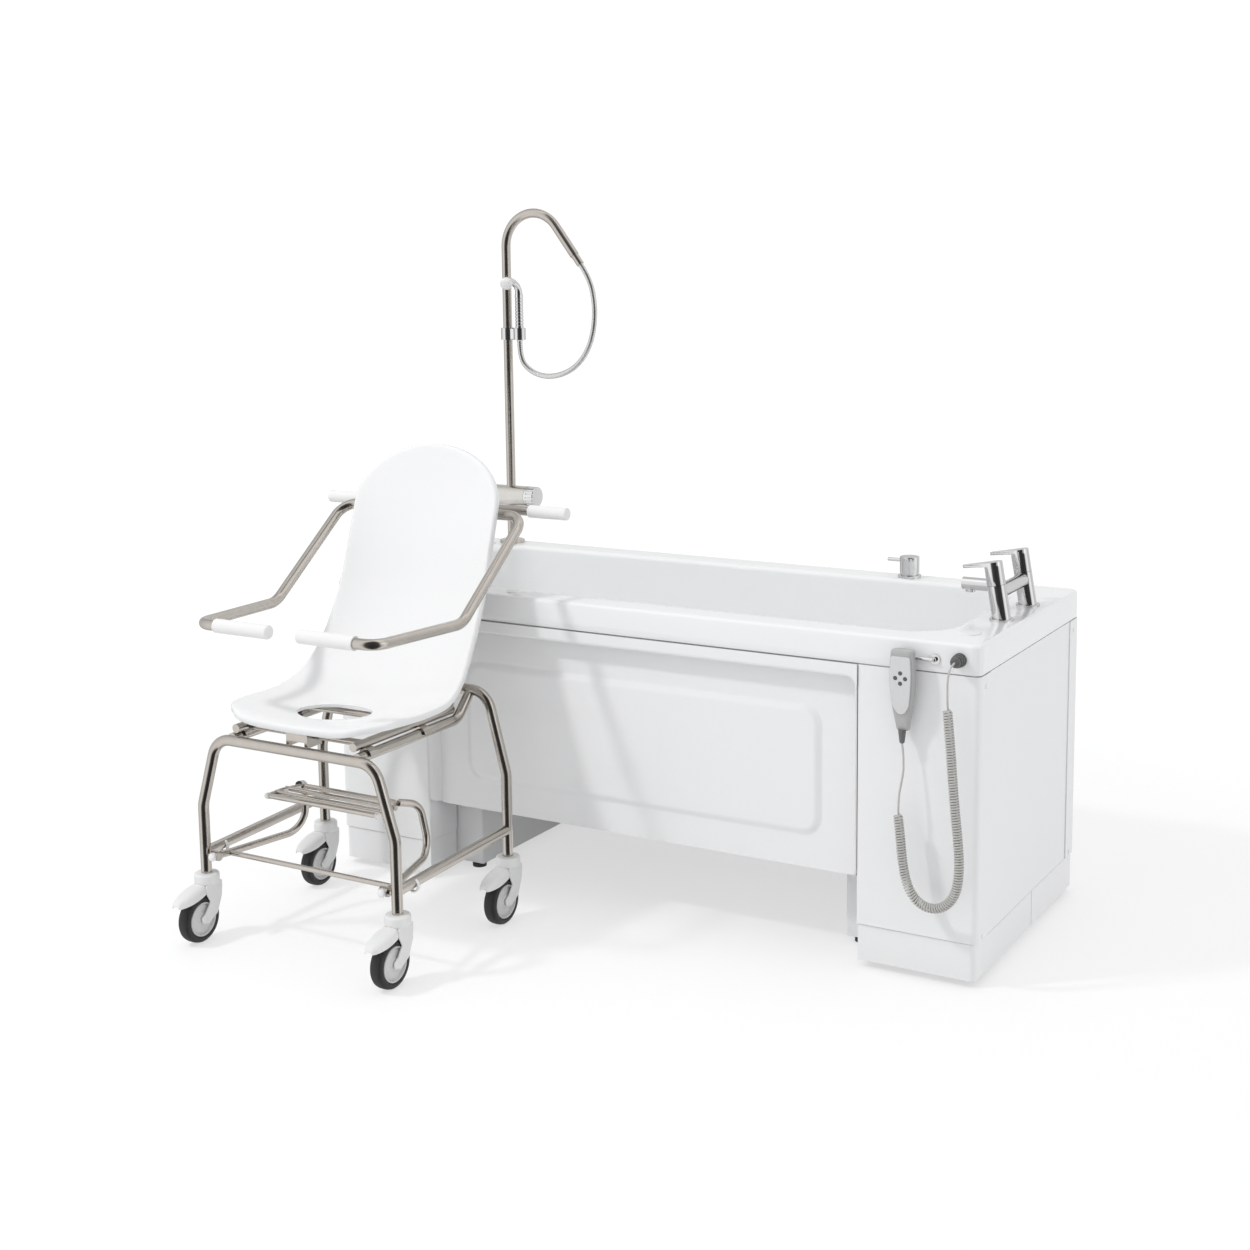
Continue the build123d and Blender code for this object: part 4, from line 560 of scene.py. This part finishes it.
# Castor wheels.
# Black rubber tyre with a slightly crowned tread on a pale grey hub: a bright rim line, a dished
# disc and a round cap over the axle.
def lathe_x(name, profile, centre, material, steps=56):
    """A turned piece about an axis along X; the profile is (radius, offset along X), closed."""
    work = bmesh.new()
    line = [work.verts.new((centre[0] + x, centre[1] + r, centre[2])) for r, x in profile]
    edges = [work.edges.new((a, b)) for a, b in zip(line, line[1:] + line[:1])]
    bmesh.ops.spin(work, geom=line + edges, cent=centre, axis=(1, 0, 0), angle=2 * math.pi, steps=steps,
                   use_merge=True)
    bmesh.ops.remove_doubles(work, verts=work.verts, dist=0.000002)
    return finished(name, work, material)


tyre_side = [(0.0395, -0.0135), (0.0415, -0.0152), (0.0440, -0.0160), (0.0475, -0.0156),
             (0.0512, -0.0142), (0.0535, -0.0115), (0.0547, -0.0070)]
tyre_profile = tyre_side + [(0.0550, 0.0)] + [(r, -x) for r, x in reversed(tyre_side)]
hub_side = [(0.0396, 0.0135), (0.0392, 0.0156), (0.0383, 0.0163), (0.0370, 0.0163), (0.0361, 0.0155),
            (0.0357, 0.0120), (0.0351, 0.0098), (0.0338, 0.0098), (0.0331, 0.0108), (0.0300, 0.0114),
            (0.0180, 0.0120), (0.0148, 0.0124), (0.0135, 0.0146), (0.0125, 0.0152), (0.0052, 0.0152)]
hub_profile = hub_side + [(r, -x) for r, x in reversed(hub_side)]
stems = {"front_left": (-0.805, -0.898), "front_right": (-0.255, -0.898),
         "rear_left": (-0.805, -0.473), "rear_right": (-0.255, -0.473)}
for corner, (x, y) in stems.items():
    axle = (x, y - 0.032, 0.055)
    rubber_ring = lathe_x("tyre_" + corner, tyre_profile, axle, tyre)
    hub = lathe_x("hub_" + corner, hub_profile, axle, hub_grey)
    for piece in (rubber_ring, hub):
        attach(piece, "wheel_" + corner)
    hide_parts("castor_wheel_" + corner)
    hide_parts("castor_wheel_" + corner)


# Castor housings and brake pedals.
# Pale moulded plastic. The housing is the CAD's collar and cheeks with their edges melted together;
# the pedal is a thin hood over the tyre, hinged between the cheeks, that droops to a blunt tip.
def drawn_form(name, stations, place, material, segments=40, close=True):
    """A form drawn out of a ring: each station is the ring extruded and set in its new place."""
    work = bmesh.new()
    turn = work.verts.layers.float.new("turn")
    ring = bmesh.ops.create_circle(work, cap_ends=False, segments=segments, radius=1.0)["verts"]
    for vert in ring:
        vert[turn] = math.atan2(vert.co.y, vert.co.x)
    for i, station in enumerate(stations):
        if i:
            edges = [e for e in work.edges if e.verts[0] in ring and e.verts[1] in ring]
            grown = bmesh.ops.extrude_edge_only(work, edges=edges)["geom"]
            ring = [item for item in grown if isinstance(item, bmesh.types.BMVert)]
        ring = set(ring)
        for vert in ring:
            vert.co = place(station, vert[turn])
    if close:
        bmesh.ops.holes_fill(work, edges=[e for e in work.edges if e.is_boundary], sides=0)
    bmesh.ops.remove_doubles(work, verts=work.verts, dist=0.000002)
    return finished(name, work, material)


def squared(angle, power):
    """Cosine and sine of a rounded square: the higher the power, the squarer."""
    c, s = math.cos(angle), math.sin(angle)
    return math.copysign(abs(c) ** (2 / power), c), math.copysign(abs(s) ** (2 / power), s)


hood_stations = [(-0.0125, 0.0150, 0.1295, 0.1195), (-0.0140, 0.0160, 0.1305, 0.1180),
                 (-0.0265, 0.0162, 0.1312, 0.1165), (-0.0290, 0.0195, 0.1313, 0.1150),
                 (-0.0340, 0.0214, 0.1312, 0.1130), (-0.0450, 0.0220, 0.1303, 0.1100),
                 (-0.0580, 0.0216, 0.1276, 0.1065), (-0.0700, 0.0203, 0.1240, 0.1040),
                 (-0.0810, 0.0180, 0.1202, 0.1022), (-0.0900, 0.0150, 0.1163, 0.1010),
                 (-0.0960, 0.0122, 0.1132, 0.1003), (-0.0992, 0.0104, 0.1108, 0.1003),
                 (-0.1010, 0.0088, 0.1080, 0.1003), (-0.1018, 0.0078, 0.1040, 0.1003)]
hood_wall = 0.0028


def hood_grid(name, x, y):
    """The pedal's hood: a fine sheet bent over the tyre, with its wall given by a modifier."""
    work = bmesh.new()
    across, along = 22, 4 * (len(hood_stations) - 1)
    bmesh.ops.create_grid(work, x_segments=across, y_segments=along, size=1.0)
    for vert in work.verts:
        run = (vert.co.y + 1) / 2 * (len(hood_stations) - 1)
        i = min(int(run), len(hood_stations) - 2)
        reach, half, top, low = [a + (b - a) * (run - i)
                                 for a, b in zip(hood_stations[i], hood_stations[i + 1])]
        c, s = squared(math.pi / 2 * (1 - vert.co.x), 3.4)
        vert.co = (x + half * c, y + reach, low + (top - low) * s)
    hood = finished(name, work, castor)
    wall = hood.modifiers.new("wall", "SOLIDIFY")
    wall.thickness = hood_wall
    wall.offset = -1
    rounded = hood.modifiers.new("edges", "BEVEL")
    rounded.width = 0.0008
    rounded.segments = 2
    rounded.limit_method = "ANGLE"
    rounded.angle_limit = math.radians(60)
    return hood


for corner, (x, y) in stems.items():
    housing = nodes["castor_fork_" + corner]
    housing.modifiers.clear()
    weld = housing.modifiers.new("weld", "WELD")
    weld.merge_threshold = 0.00001
    cast = housing.modifiers.new("cast", "REMESH")
    cast.mode = "VOXEL"
    cast.voxel_size = 0.0011
    cast.use_smooth_shade = True
    flow = housing.modifiers.new("flow", "SMOOTH")
    flow.factor = 0.5
    flow.iterations = 9
    hood = hood_grid("pedal_hood_" + corner, x, y)
    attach(hood, "brake_" + corner)
    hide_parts("brake_pedal_" + corner)


# Filler levers.
# Chrome caps that turn on the filler's two pillars, each with a flat tongue drawn out of its top
# towards the basin. Both lean with their pillars.
pillar_x = 0.803
cap_r, cap_low, cap_top, tongue_low = 0.0205, 0.0785, 0.1303, 0.1215
tongue_reach, tip_r = 0.0615, 0.0085
pillar_lean = math.radians(-10)
for name, y in (("tap_lever_front", -0.078), ("tap_lever_rear", 0.102)):
    work = bmesh.new()
    bmesh.ops.create_cone(work, cap_ends=True, cap_tris=False, segments=56, radius1=cap_r, radius2=cap_r,
                          depth=cap_top - cap_low)
    bmesh.ops.translate(work, verts=work.verts, vec=(0, 0, (cap_top + cap_low) / 2))
    bmesh.ops.bisect_plane(work, geom=work.verts[:] + work.edges[:] + work.faces[:],
                           plane_co=(0, 0, tongue_low), plane_no=(0, 0, 1))
    work.normal_update()
    facing = [f for f in work.faces if abs(f.normal.z) < 0.1 and f.normal.x < -0.30
              and f.calc_center_median().z > tongue_low]
    drawn = bmesh.ops.extrude_face_region(work, geom=facing)["geom"]
    bmesh.ops.delete(work, geom=facing, context="FACES")
    for vert in [item for item in drawn if isinstance(item, bmesh.types.BMVert)]:
        side = vert.co.y * tip_r / cap_r * 0.97
        vert.co.x = -tongue_reach - math.sqrt(max(0.0, tip_r ** 2 - side ** 2))
        vert.co.y = side
        vert.co.z = cap_top - 0.0004 if vert.co.z > (cap_top + tongue_low) / 2 else tongue_low + 0.0016
    work.normal_update()
    sharp = [e for e in work.edges if len(e.link_faces) == 2 and e.calc_face_angle() > math.radians(50)]
    bmesh.ops.bevel(work, geom=sharp, offset=0.0016, segments=3, profile=0.5, affect="EDGES",
                    material=-1, clamp_overlap=True)
    bmesh.ops.rotate(work, verts=work.verts, cent=(0, 0, 0),
                     matrix=Matrix.Rotation(pillar_lean, 3, "Y"))
    bmesh.ops.translate(work, verts=work.verts, vec=(pillar_x, y, rim_z))
    lever = finished(name + "_cap", work, chrome)
    smooth(lever)
    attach(lever, name)
    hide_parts(name)


# Control handset.
# A grey moulded case that tapers to its lead, with a paler face plate round the buttons, a hook
# over the chrome bar behind it and a ribbed dark sleeve where the lead goes in.
handset_x, handset_back, sleeve_y = 0.690, -0.3612, -0.3745
case_stations = [(0.5555, 0.0100, -0.3720), (0.5560, 0.0128, -0.3745), (0.5580, 0.0137, -0.3755),
                 (0.5700, 0.0155, -0.3778), (0.5850, 0.0181, -0.3803), (0.6000, 0.0208, -0.3828),
                 (0.6200, 0.0239, -0.3851), (0.6400, 0.0262, -0.3865), (0.6600, 0.0273, -0.3873),
                 (0.6800, 0.0275, -0.3876), (0.7000, 0.0266, -0.3878), (0.7170, 0.0253, -0.3879),
                 (0.7200, 0.0248, -0.3876), (0.7215, 0.0252, -0.3879), (0.7262, 0.0248, -0.3878),
                 (0.7288, 0.0238, -0.3868), (0.7298, 0.0222, -0.3852), (0.7300, 0.0180, -0.3820),
                 (0.7300, 0.0020, -0.3745)]


def case_place(station, angle):
    """Point of the case's outline: a rounded rectangle, back on one plane, front drawn forward."""
    z, half, front = station
    back = handset_back if half > 0.012 else -0.3700
    c, s = squared(angle, 4.2)
    return (handset_x + half * c, (front + back) / 2 + (back - front) / 2 * s, z)


def sleeve_place(station, angle):
    """Point of the round sleeve under the case."""
    z, radius = station
    return (handset_x + radius * math.cos(angle), sleeve_y + radius * math.sin(angle), z)


def case_half(z):
    """Half width of the case at a height."""
    for low, high in zip(case_stations, case_stations[1:]):
        if low[0] <= z <= high[0] and high[0] > low[0]:
            return low[1] + (high[1] - low[1]) * (z - low[0]) / (high[0] - low[0])
    return case_stations[-1][1]


case_grey = new_material("case_grey", (0.44, 0.44, 0.44), 0.42, spread=0.02, scale=180, bump=0.08)
plate_grey = new_material("plate_grey", (0.66, 0.66, 0.66), 0.36, spread=0.015, scale=120, bump=0.04)
sleeve_dark = new_material("sleeve_dark", (0.16, 0.16, 0.16), 0.5, spread=0.06, scale=220, bump=0.1)
case = drawn_form("handset_case", case_stations, case_place, case_grey, segments=64)
sleeve_stations = [(0.5285, 0.0024), (0.5285, 0.0044), (0.5295, 0.0050)]
for i in range(6):
    z = 0.5312 + 0.0039 * i
    radius = 0.0052 + 0.00048 * i
    sleeve_stations += [(z, radius), (z + 0.0004, radius + 0.0006), (z + 0.0020, radius + 0.0007),
                        (z + 0.0024, radius)]
sleeve_stations += [(0.5562, 0.0086)]
sleeve = drawn_form("handset_sleeve", sleeve_stations, sleeve_place, sleeve_dark, segments=28)
plate_low, plate_top, plate_foot, plate_corner = 0.5925, 0.7175, 0.026, 0.003
work = bmesh.new()
bmesh.ops.create_grid(work, x_segments=20, y_segments=48, size=1.0)
for vert in work.verts:
    share = (vert.co.y + 1) / 2
    z = plate_low + (plate_top - plate_low) * share ** 1.25
    half = case_half(z) - 0.0040
    if z < plate_low + plate_foot:
        half *= math.sqrt(max(0.0, 1 - ((plate_low + plate_foot - z) / plate_foot) ** 2))
    if z > plate_top - plate_corner:
        past = z - plate_top + plate_corner
        half -= plate_corner - math.sqrt(max(0.0, plate_corner ** 2 - past ** 2))
    front = -0.3883 + 0.0048 * max(0.0, (0.655 - z) / 0.0625) ** 1.7
    vert.co = (handset_x + half * vert.co.x, front, z)
bmesh.ops.remove_doubles(work, verts=work.verts, dist=0.00001)
plate = finished("handset_plate", work, plate_grey)
wall = plate.modifiers.new("wall", "SOLIDIFY")
wall.thickness = 0.0012
wall.offset = 0
hook = []
for low, high in (((-0.012, -0.3615, 0.7143), (0.012, -0.3455, 0.7190)),
                  ((-0.012, -0.3490, 0.7020), (0.012, -0.3455, 0.7188))):
    work = bmesh.new()
    bmesh.ops.create_cube(work, size=1.0)
    size = [b - a for a, b in zip(low, high)]
    bmesh.ops.scale(work, verts=work.verts, vec=size)
    bmesh.ops.translate(work, verts=work.verts, vec=[(a + b) / 2 for a, b in zip(low, high)])
    bmesh.ops.translate(work, verts=work.verts, vec=(handset_x, 0, 0))
    bmesh.ops.bevel(work, geom=work.edges[:], offset=0.0011, segments=3, profile=0.5, affect="EDGES",
                    material=-1)
    hook.append(finished("handset_hook_%d" % len(hook), work, case_grey))
for piece in [case, sleeve, plate] + hook:
    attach(piece, "tub_carriage")
    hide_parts("control_handset")


# End caps of the chair's tubes.
# Small white plastic caps pushed on the footrest's front ends and on the ends of its front slat,
# and a white ring where each lower rail starts.
cap_stations = [(0.0000, 1.00), (0.0075, 1.00), (0.0100, 0.93), (0.0118, 0.75), (0.0126, 0.45),
                (0.0128, 0.05)]
cap_spots = []
for side in (-1, 1):
    cap_spots.append((Vector((chair_x + side * 0.243, -0.9045, 0.200)), Vector((0, -1, 0)), 0.0094))
    cap_spots.append((Vector((chair_x + side * 0.1535, -0.8085, 0.330)), Vector((side, 0, 0)), 0.0072))
for i, (start, axis, radius) in enumerate(cap_spots):
    level_axis = axis.cross(Vector((0, 0, 1)))

    def cap_place(station, angle):
        """Point of an end cap's ring along the tube's own axis."""
        reach_out, share = station
        around = level_axis * math.cos(angle) + axis.cross(level_axis) * math.sin(angle)
        return start + axis * reach_out + around * radius * share

    end_cap = drawn_form("tube_cap_%d" % i, cap_stations, cap_place, grip, segments=28)
    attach(end_cap, "footrest")
rail_x, rail_z = 0.275, 0.2015
ring_stations = [(0.0126, -0.8440), (0.0152, -0.8440), (0.0164, -0.8428), (0.0164, -0.8372),
                 (0.0152, -0.8360), (0.0126, -0.8360), (0.0126, -0.8440)]
for i, side in enumerate((-1, 1)):

    def rail_place(station, angle):
        """Point of the white ring round a lower rail."""
        radius, y = station
        return (chair_x + side * rail_x + radius * math.cos(angle), y, rail_z + radius * math.sin(angle))

    rail_ring = drawn_form("rail_ring_%d" % i, ring_stations, rail_place, grip, segments=36, close=False)
    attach(rail_ring, "chair_chassis")


# Cable gland.
# A short rubber gland on the rim's face, ribbed in steps towards the lead that it grips.
gland_x, gland_z = 0.805, 0.714
gland_stations = [(-0.3450, 0.0150), (-0.3495, 0.0150), (-0.3505, 0.0122), (-0.3530, 0.0122),
                  (-0.3540, 0.0143), (-0.3580, 0.0143), (-0.3590, 0.0115), (-0.3615, 0.0115),
                  (-0.3625, 0.0132), (-0.3665, 0.0132), (-0.3675, 0.0104), (-0.3700, 0.0102),
                  (-0.3710, 0.0115), (-0.3755, 0.0108), (-0.3785, 0.0080), (-0.3790, 0.0055),
                  (-0.3790, 0.0020)]


def gland_place(station, angle):
    """Point of the gland's ring at a depth in front of the rim."""
    y, radius = station
    return (gland_x + radius * math.cos(angle), y, gland_z + radius * math.sin(angle))


gland = drawn_form("ribbed_gland", gland_stations, gland_place, gland_rubber, segments=48)
smooth(gland)
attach(gland, "tub_carriage")
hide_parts("cable_gland")


# Front apron.
# One vacuum-formed sheet between the two front covers: a flat band under the rim, a recess with
# rounded upper corners below it, and a broad raised rectangle with soft edges in the recess.
apron_half, apron_low, foot_corner, foot_band = 0.574, 0.194, 0.022, 0.03
band_y, band_low = -0.345, 0.656
recess_y, recess_half, recess_corner, recess_ramp = -0.307, 0.5744, 0.028, 0.013
raised_half, raised_low, raised_high, raised_corner = 0.479, 0.266, 0.570, 0.048
raised_by, raised_ramp = 0.007, 0.020
sheet_x = [(-0.5749, 0), (-0.540, 18), (-0.492, 12), (-0.410, 30), (0.410, 26), (0.492, 30),
           (0.540, 12), (0.5749, 18)]
sheet_z = [(0.194, 0), (0.222, 10), (0.252, 8), (0.326, 30), (0.512, 12), (0.583, 30), (0.618, 8),
           (0.668, 26), (0.680, 3)]


def spread_out(stops):
    """Grid places between stops, with each stretch cut into its own number of steps."""
    places = [stops[0][0]]
    for (a, _), (b, count) in zip(stops, stops[1:]):
        places += [a + (b - a) * (k + 1) / count for k in range(count)]
    return places


def inside(x, z, half, low, high, corner):
    """Distance inside a rounded rectangle, negative outside it."""
    dx = abs(x) - (half - corner)
    dz = abs(z - (low + high) / 2) - ((high - low) / 2 - corner)
    return corner - math.hypot(max(dx, 0), max(dz, 0)) - min(max(dx, dz), 0)


columns, rows = spread_out(sheet_x), spread_out(sheet_z)
work = bmesh.new()
bmesh.ops.create_grid(work, x_segments=len(columns) - 1, y_segments=len(rows) - 1, size=1.0)
for vert in work.verts:
    x = columns[round((vert.co.x + 1) / 2 * (len(columns) - 1))]
    z = rows[round((vert.co.y + 1) / 2 * (len(rows) - 1))]
    recess = eased(inside(x, z, recess_half, -0.4, band_low, recess_corner) / recess_ramp)
    relief = eased(inside(x, z, raised_half, raised_low, raised_high, raised_corner) / raised_ramp)
    past = max(0.0, abs(x) - (apron_half - foot_corner))
    foot_z = apron_low + foot_corner - math.sqrt(foot_corner ** 2 - min(past, 0.0219) ** 2)
    if z < foot_z + foot_band:
        z = foot_z + (z - apron_low) / (foot_z + foot_band - apron_low) * foot_band
    vert.co = (x, band_y + (recess_y - band_y) * recess - raised_by * relief, z)
apron = finished("formed_apron", work, panel)
wall = apron.modifiers.new("wall", "SOLIDIFY")
wall.thickness = 0.004
wall.offset = 1
smooth(apron)
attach(apron, "tub_carriage")
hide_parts("front_apron")


# Hand shower.
# A chromed handset that hangs in the CAD's block on the riser: a ribbed grip, a neck that bends
# over to the front and a small round head with a pale face.
grip_x, grip_y = -0.709, 0.305
grip_stations = [(1.3100, 0.0040), (1.3100, 0.0080), (1.3120, 0.0092), (1.3300, 0.0104),
                 (1.3480, 0.0112)]
for i in range(9):
    z = 1.3520 + 0.0090 * i
    grip_stations += [(z, 0.0112), (z + 0.0015, 0.0100), (z + 0.0030, 0.0100), (z + 0.0045, 0.0114)]
grip_stations += [(1.4370, 0.0112), (1.4400, 0.0102), (1.4400, 0.0020)]


def grip_place(station, angle):
    """Point of the grip's ring at a height."""
    z, radius = station
    return (grip_x + radius * math.cos(angle), grip_y + radius * math.sin(angle), z)


grip_piece = drawn_form("shower_grip", grip_stations, grip_place, chrome, segments=32)
neck_line = [Vector(place) for place in (
    (-0.709, 0.305, 1.432), (-0.7090, 0.3035, 1.448), (-0.7100, 0.297, 1.461),
    (-0.7125, 0.286, 1.470), (-0.7155, 0.274, 1.4745), (-0.7175, 0.266, 1.4735))]
neck_r = [0.0105, 0.0095, 0.0090, 0.0090, 0.0100, 0.0125]


def neck_place(i, angle):
    """Point of the neck's ring at a place of its line, square to that line."""
    along_line = neck_line[min(i + 1, len(neck_line) - 1)] - neck_line[max(i - 1, 0)]
    across_line = along_line.cross(Vector((1, 0, 0))).normalized()
    other = along_line.cross(across_line).normalized()
    return neck_line[i] + (across_line * math.cos(angle) + other * math.sin(angle)) * neck_r[i]


neck = drawn_form("shower_neck", list(range(len(neck_line))), neck_place, chrome, segments=28)
head_middle = Vector((-0.7185, 0.2595, 1.4700))
head_axis = Vector((0.10, -0.86, -0.50)).normalized()
head_side = head_axis.cross(Vector((1, 0, 0))).normalized()
head_stations = [(-0.0130, 0.0020), (-0.0128, 0.0060), (-0.0105, 0.0108), (-0.0065, 0.0145),
                 (-0.0010, 0.0166), (0.0045, 0.0170), (0.0085, 0.0164), (0.0105, 0.0150),
                 (0.0112, 0.0140), (0.0125, 0.0090), (0.0130, 0.0020)]


def head_place(station, angle):
    """Point of the round head's ring along its own axis."""
    reach_out, radius = station
    other = head_axis.cross(head_side)
    return (head_middle + head_axis * reach_out
            + (head_side * math.cos(angle) + other * math.sin(angle)) * radius)


head_white = new_material("shower_head_white", (0.80, 0.80, 0.79), 0.28, spread=0.02, scale=160,
                          bump=0.05)
head = drawn_form("shower_head", head_stations, head_place, head_white, segments=44)
for piece in (grip_piece, neck, head):
    smooth(piece)
    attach(piece, "tub_carriage")
    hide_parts("hand_shower")


# Floor and light.
# A pale floor that fades into a white surround and that mirror rays pass through, a small lamp from
# the left front that throws the chair's shadow on the apron, and broad weak ones right and above.
floor_mesh = bpy.data.meshes.new("floor")
work = bmesh.new()
bmesh.ops.create_circle(work, cap_ends=True, segments=96, radius=9)
work.to_mesh(floor_mesh)
work.free()
floor = add_object("floor", floor_mesh)
floor.location = (0, 0, -0.0005)
floor_paint = bpy.data.materials.new("floor_paint")
floor_paint.use_nodes = True
ground = floor_paint.node_tree
paint = ground.nodes["Principled BSDF"]
paint.inputs["Base Color"].default_value = (0.93, 0.93, 0.93, 1)
paint.inputs["Roughness"].default_value = 0.75
spot = ground.nodes.new("ShaderNodeTexCoord")
spot_map = ground.nodes.new("ShaderNodeMapping")
spot_map.inputs["Location"].default_value = (-0.02, 0.07, 0)
spot_map.inputs["Scale"].default_value = (0.30, 0.36, 0.0)
sphere = ground.nodes.new("ShaderNodeTexGradient")
sphere.gradient_type = "SPHERICAL"
fade = ground.nodes.new("ShaderNodeMapRange")
fade.interpolation_type = "SMOOTHSTEP"
fade.inputs["From Max"].default_value = 0.55
clear = ground.nodes.new("ShaderNodeBsdfTransparent")
glow = ground.nodes.new("ShaderNodeEmission")
glow.inputs["Strength"].default_value = 1.06
ray = ground.nodes.new("ShaderNodeLightPath")
wash = ground.nodes.new("ShaderNodeMath")
wash.operation = "MULTIPLY"
wash.inputs[1].default_value = 0.56
paper = ground.nodes.new("ShaderNodeMixShader")
blend = ground.nodes.new("ShaderNodeMixShader")
dull = ground.nodes.new("ShaderNodeMath")
dull.operation = "SUBTRACT"
dull.use_clamp = True
ground.links.new(spot.outputs["Object"], spot_map.inputs["Vector"])
ground.links.new(spot_map.outputs["Vector"], sphere.inputs["Vector"])
ground.links.new(sphere.outputs["Fac"], fade.inputs["Value"])
ground.links.new(fade.outputs["Result"], dull.inputs[0])
ground.links.new(ray.outputs["Is Glossy Ray"], dull.inputs[1])
ground.links.new(dull.outputs[0], blend.inputs["Fac"])
ground.links.new(clear.outputs[0], blend.inputs[1])
ground.links.new(ray.outputs["Is Camera Ray"], wash.inputs[0])
ground.links.new(wash.outputs[0], paper.inputs["Fac"])
ground.links.new(paint.outputs[0], paper.inputs[1])
ground.links.new(glow.outputs[0], paper.inputs[2])
ground.links.new(paper.outputs[0], blend.inputs[2])
ground.links.new(blend.outputs[0], ground.nodes["Material Output"].inputs["Surface"])
floor_mesh.materials.append(floor_paint)

world = bpy.data.worlds.new("surround")
bpy.context.scene.world = world
world.use_nodes = True
air = world.node_tree
sky = air.nodes["Background"]
sky.inputs["Color"].default_value = (0.92, 0.93, 0.94, 1)
sky.inputs["Strength"].default_value = 0.84
plain = air.nodes.new("ShaderNodeBackground")
plain.inputs["Color"].default_value = (1, 1, 1, 1)
plain.inputs["Strength"].default_value = 1.05
seen = air.nodes.new("ShaderNodeLightPath")
mix = air.nodes.new("ShaderNodeMixShader")
sky_way = air.nodes.new("ShaderNodeTexCoord")
round_sky = air.nodes.new("ShaderNodeTexGradient")
round_sky.gradient_type = "RADIAL"
flags = air.nodes.new("ShaderNodeValToRGB")
bands = [(0.0, 0.85), (0.08, 1.0), (0.15, 1.2), (0.205, 0.9), (0.235, 0.08), (0.33, 0.03),
         (0.445, 0.05), (0.475, 0.9), (0.53, 1.25), (0.60, 0.75), (0.68, 1.1), (0.80, 0.9),
         (0.92, 0.6), (0.98, 0.8)]
while len(flags.color_ramp.elements) < len(bands):
    flags.color_ramp.elements.new(0.5)
for stop, (place, level) in zip(flags.color_ramp.elements, bands):
    stop.position = place
    stop.color = (level, level, level, 1)
mirror_sky = air.nodes.new("ShaderNodeBackground")
mirror_sky.inputs["Strength"].default_value = 0.95
shine = air.nodes.new("ShaderNodeMixShader")
air.links.new(sky_way.outputs["Generated"], round_sky.inputs["Vector"])
air.links.new(round_sky.outputs["Fac"], flags.inputs["Fac"])
air.links.new(flags.outputs["Color"], mirror_sky.inputs["Color"])
air.links.new(seen.outputs["Is Glossy Ray"], shine.inputs["Fac"])
air.links.new(sky.outputs[0], shine.inputs[1])
air.links.new(mirror_sky.outputs[0], shine.inputs[2])
air.links.new(seen.outputs["Is Camera Ray"], mix.inputs["Fac"])
air.links.new(shine.outputs[0], mix.inputs[1])
air.links.new(plain.outputs[0], mix.inputs[2])
air.links.new(mix.outputs[0], air.nodes["World Output"].inputs["Surface"])


def area_light(name, place, target, size, power):
    """A square white light aimed at a point."""
    data = bpy.data.lights.new(name, "AREA")
    data.size = size
    data.energy = power
    lamp = add_object(name, data)
    lamp.location = place
    lamp.rotation_euler = (Vector(target) - Vector(place)).to_track_quat("-Z", "Y").to_euler()
    return lamp


key = area_light("key", (-2.75, -3.35, 5.0), (-0.2, -0.35, 0.5), 0.50, 120)
key.visible_glossy = False
area_light("top", (0.2, -0.5, 4.2), (0.0, 0.0, 0.5), 3.0, 6)
area_light("fill", (4.4, -1.2, 2.2), (0.2, 0.0, 0.5), 2.4, 9)

bpy.context.scene.view_settings.view_transform = "Standard"
bpy.context.view_layer.update()
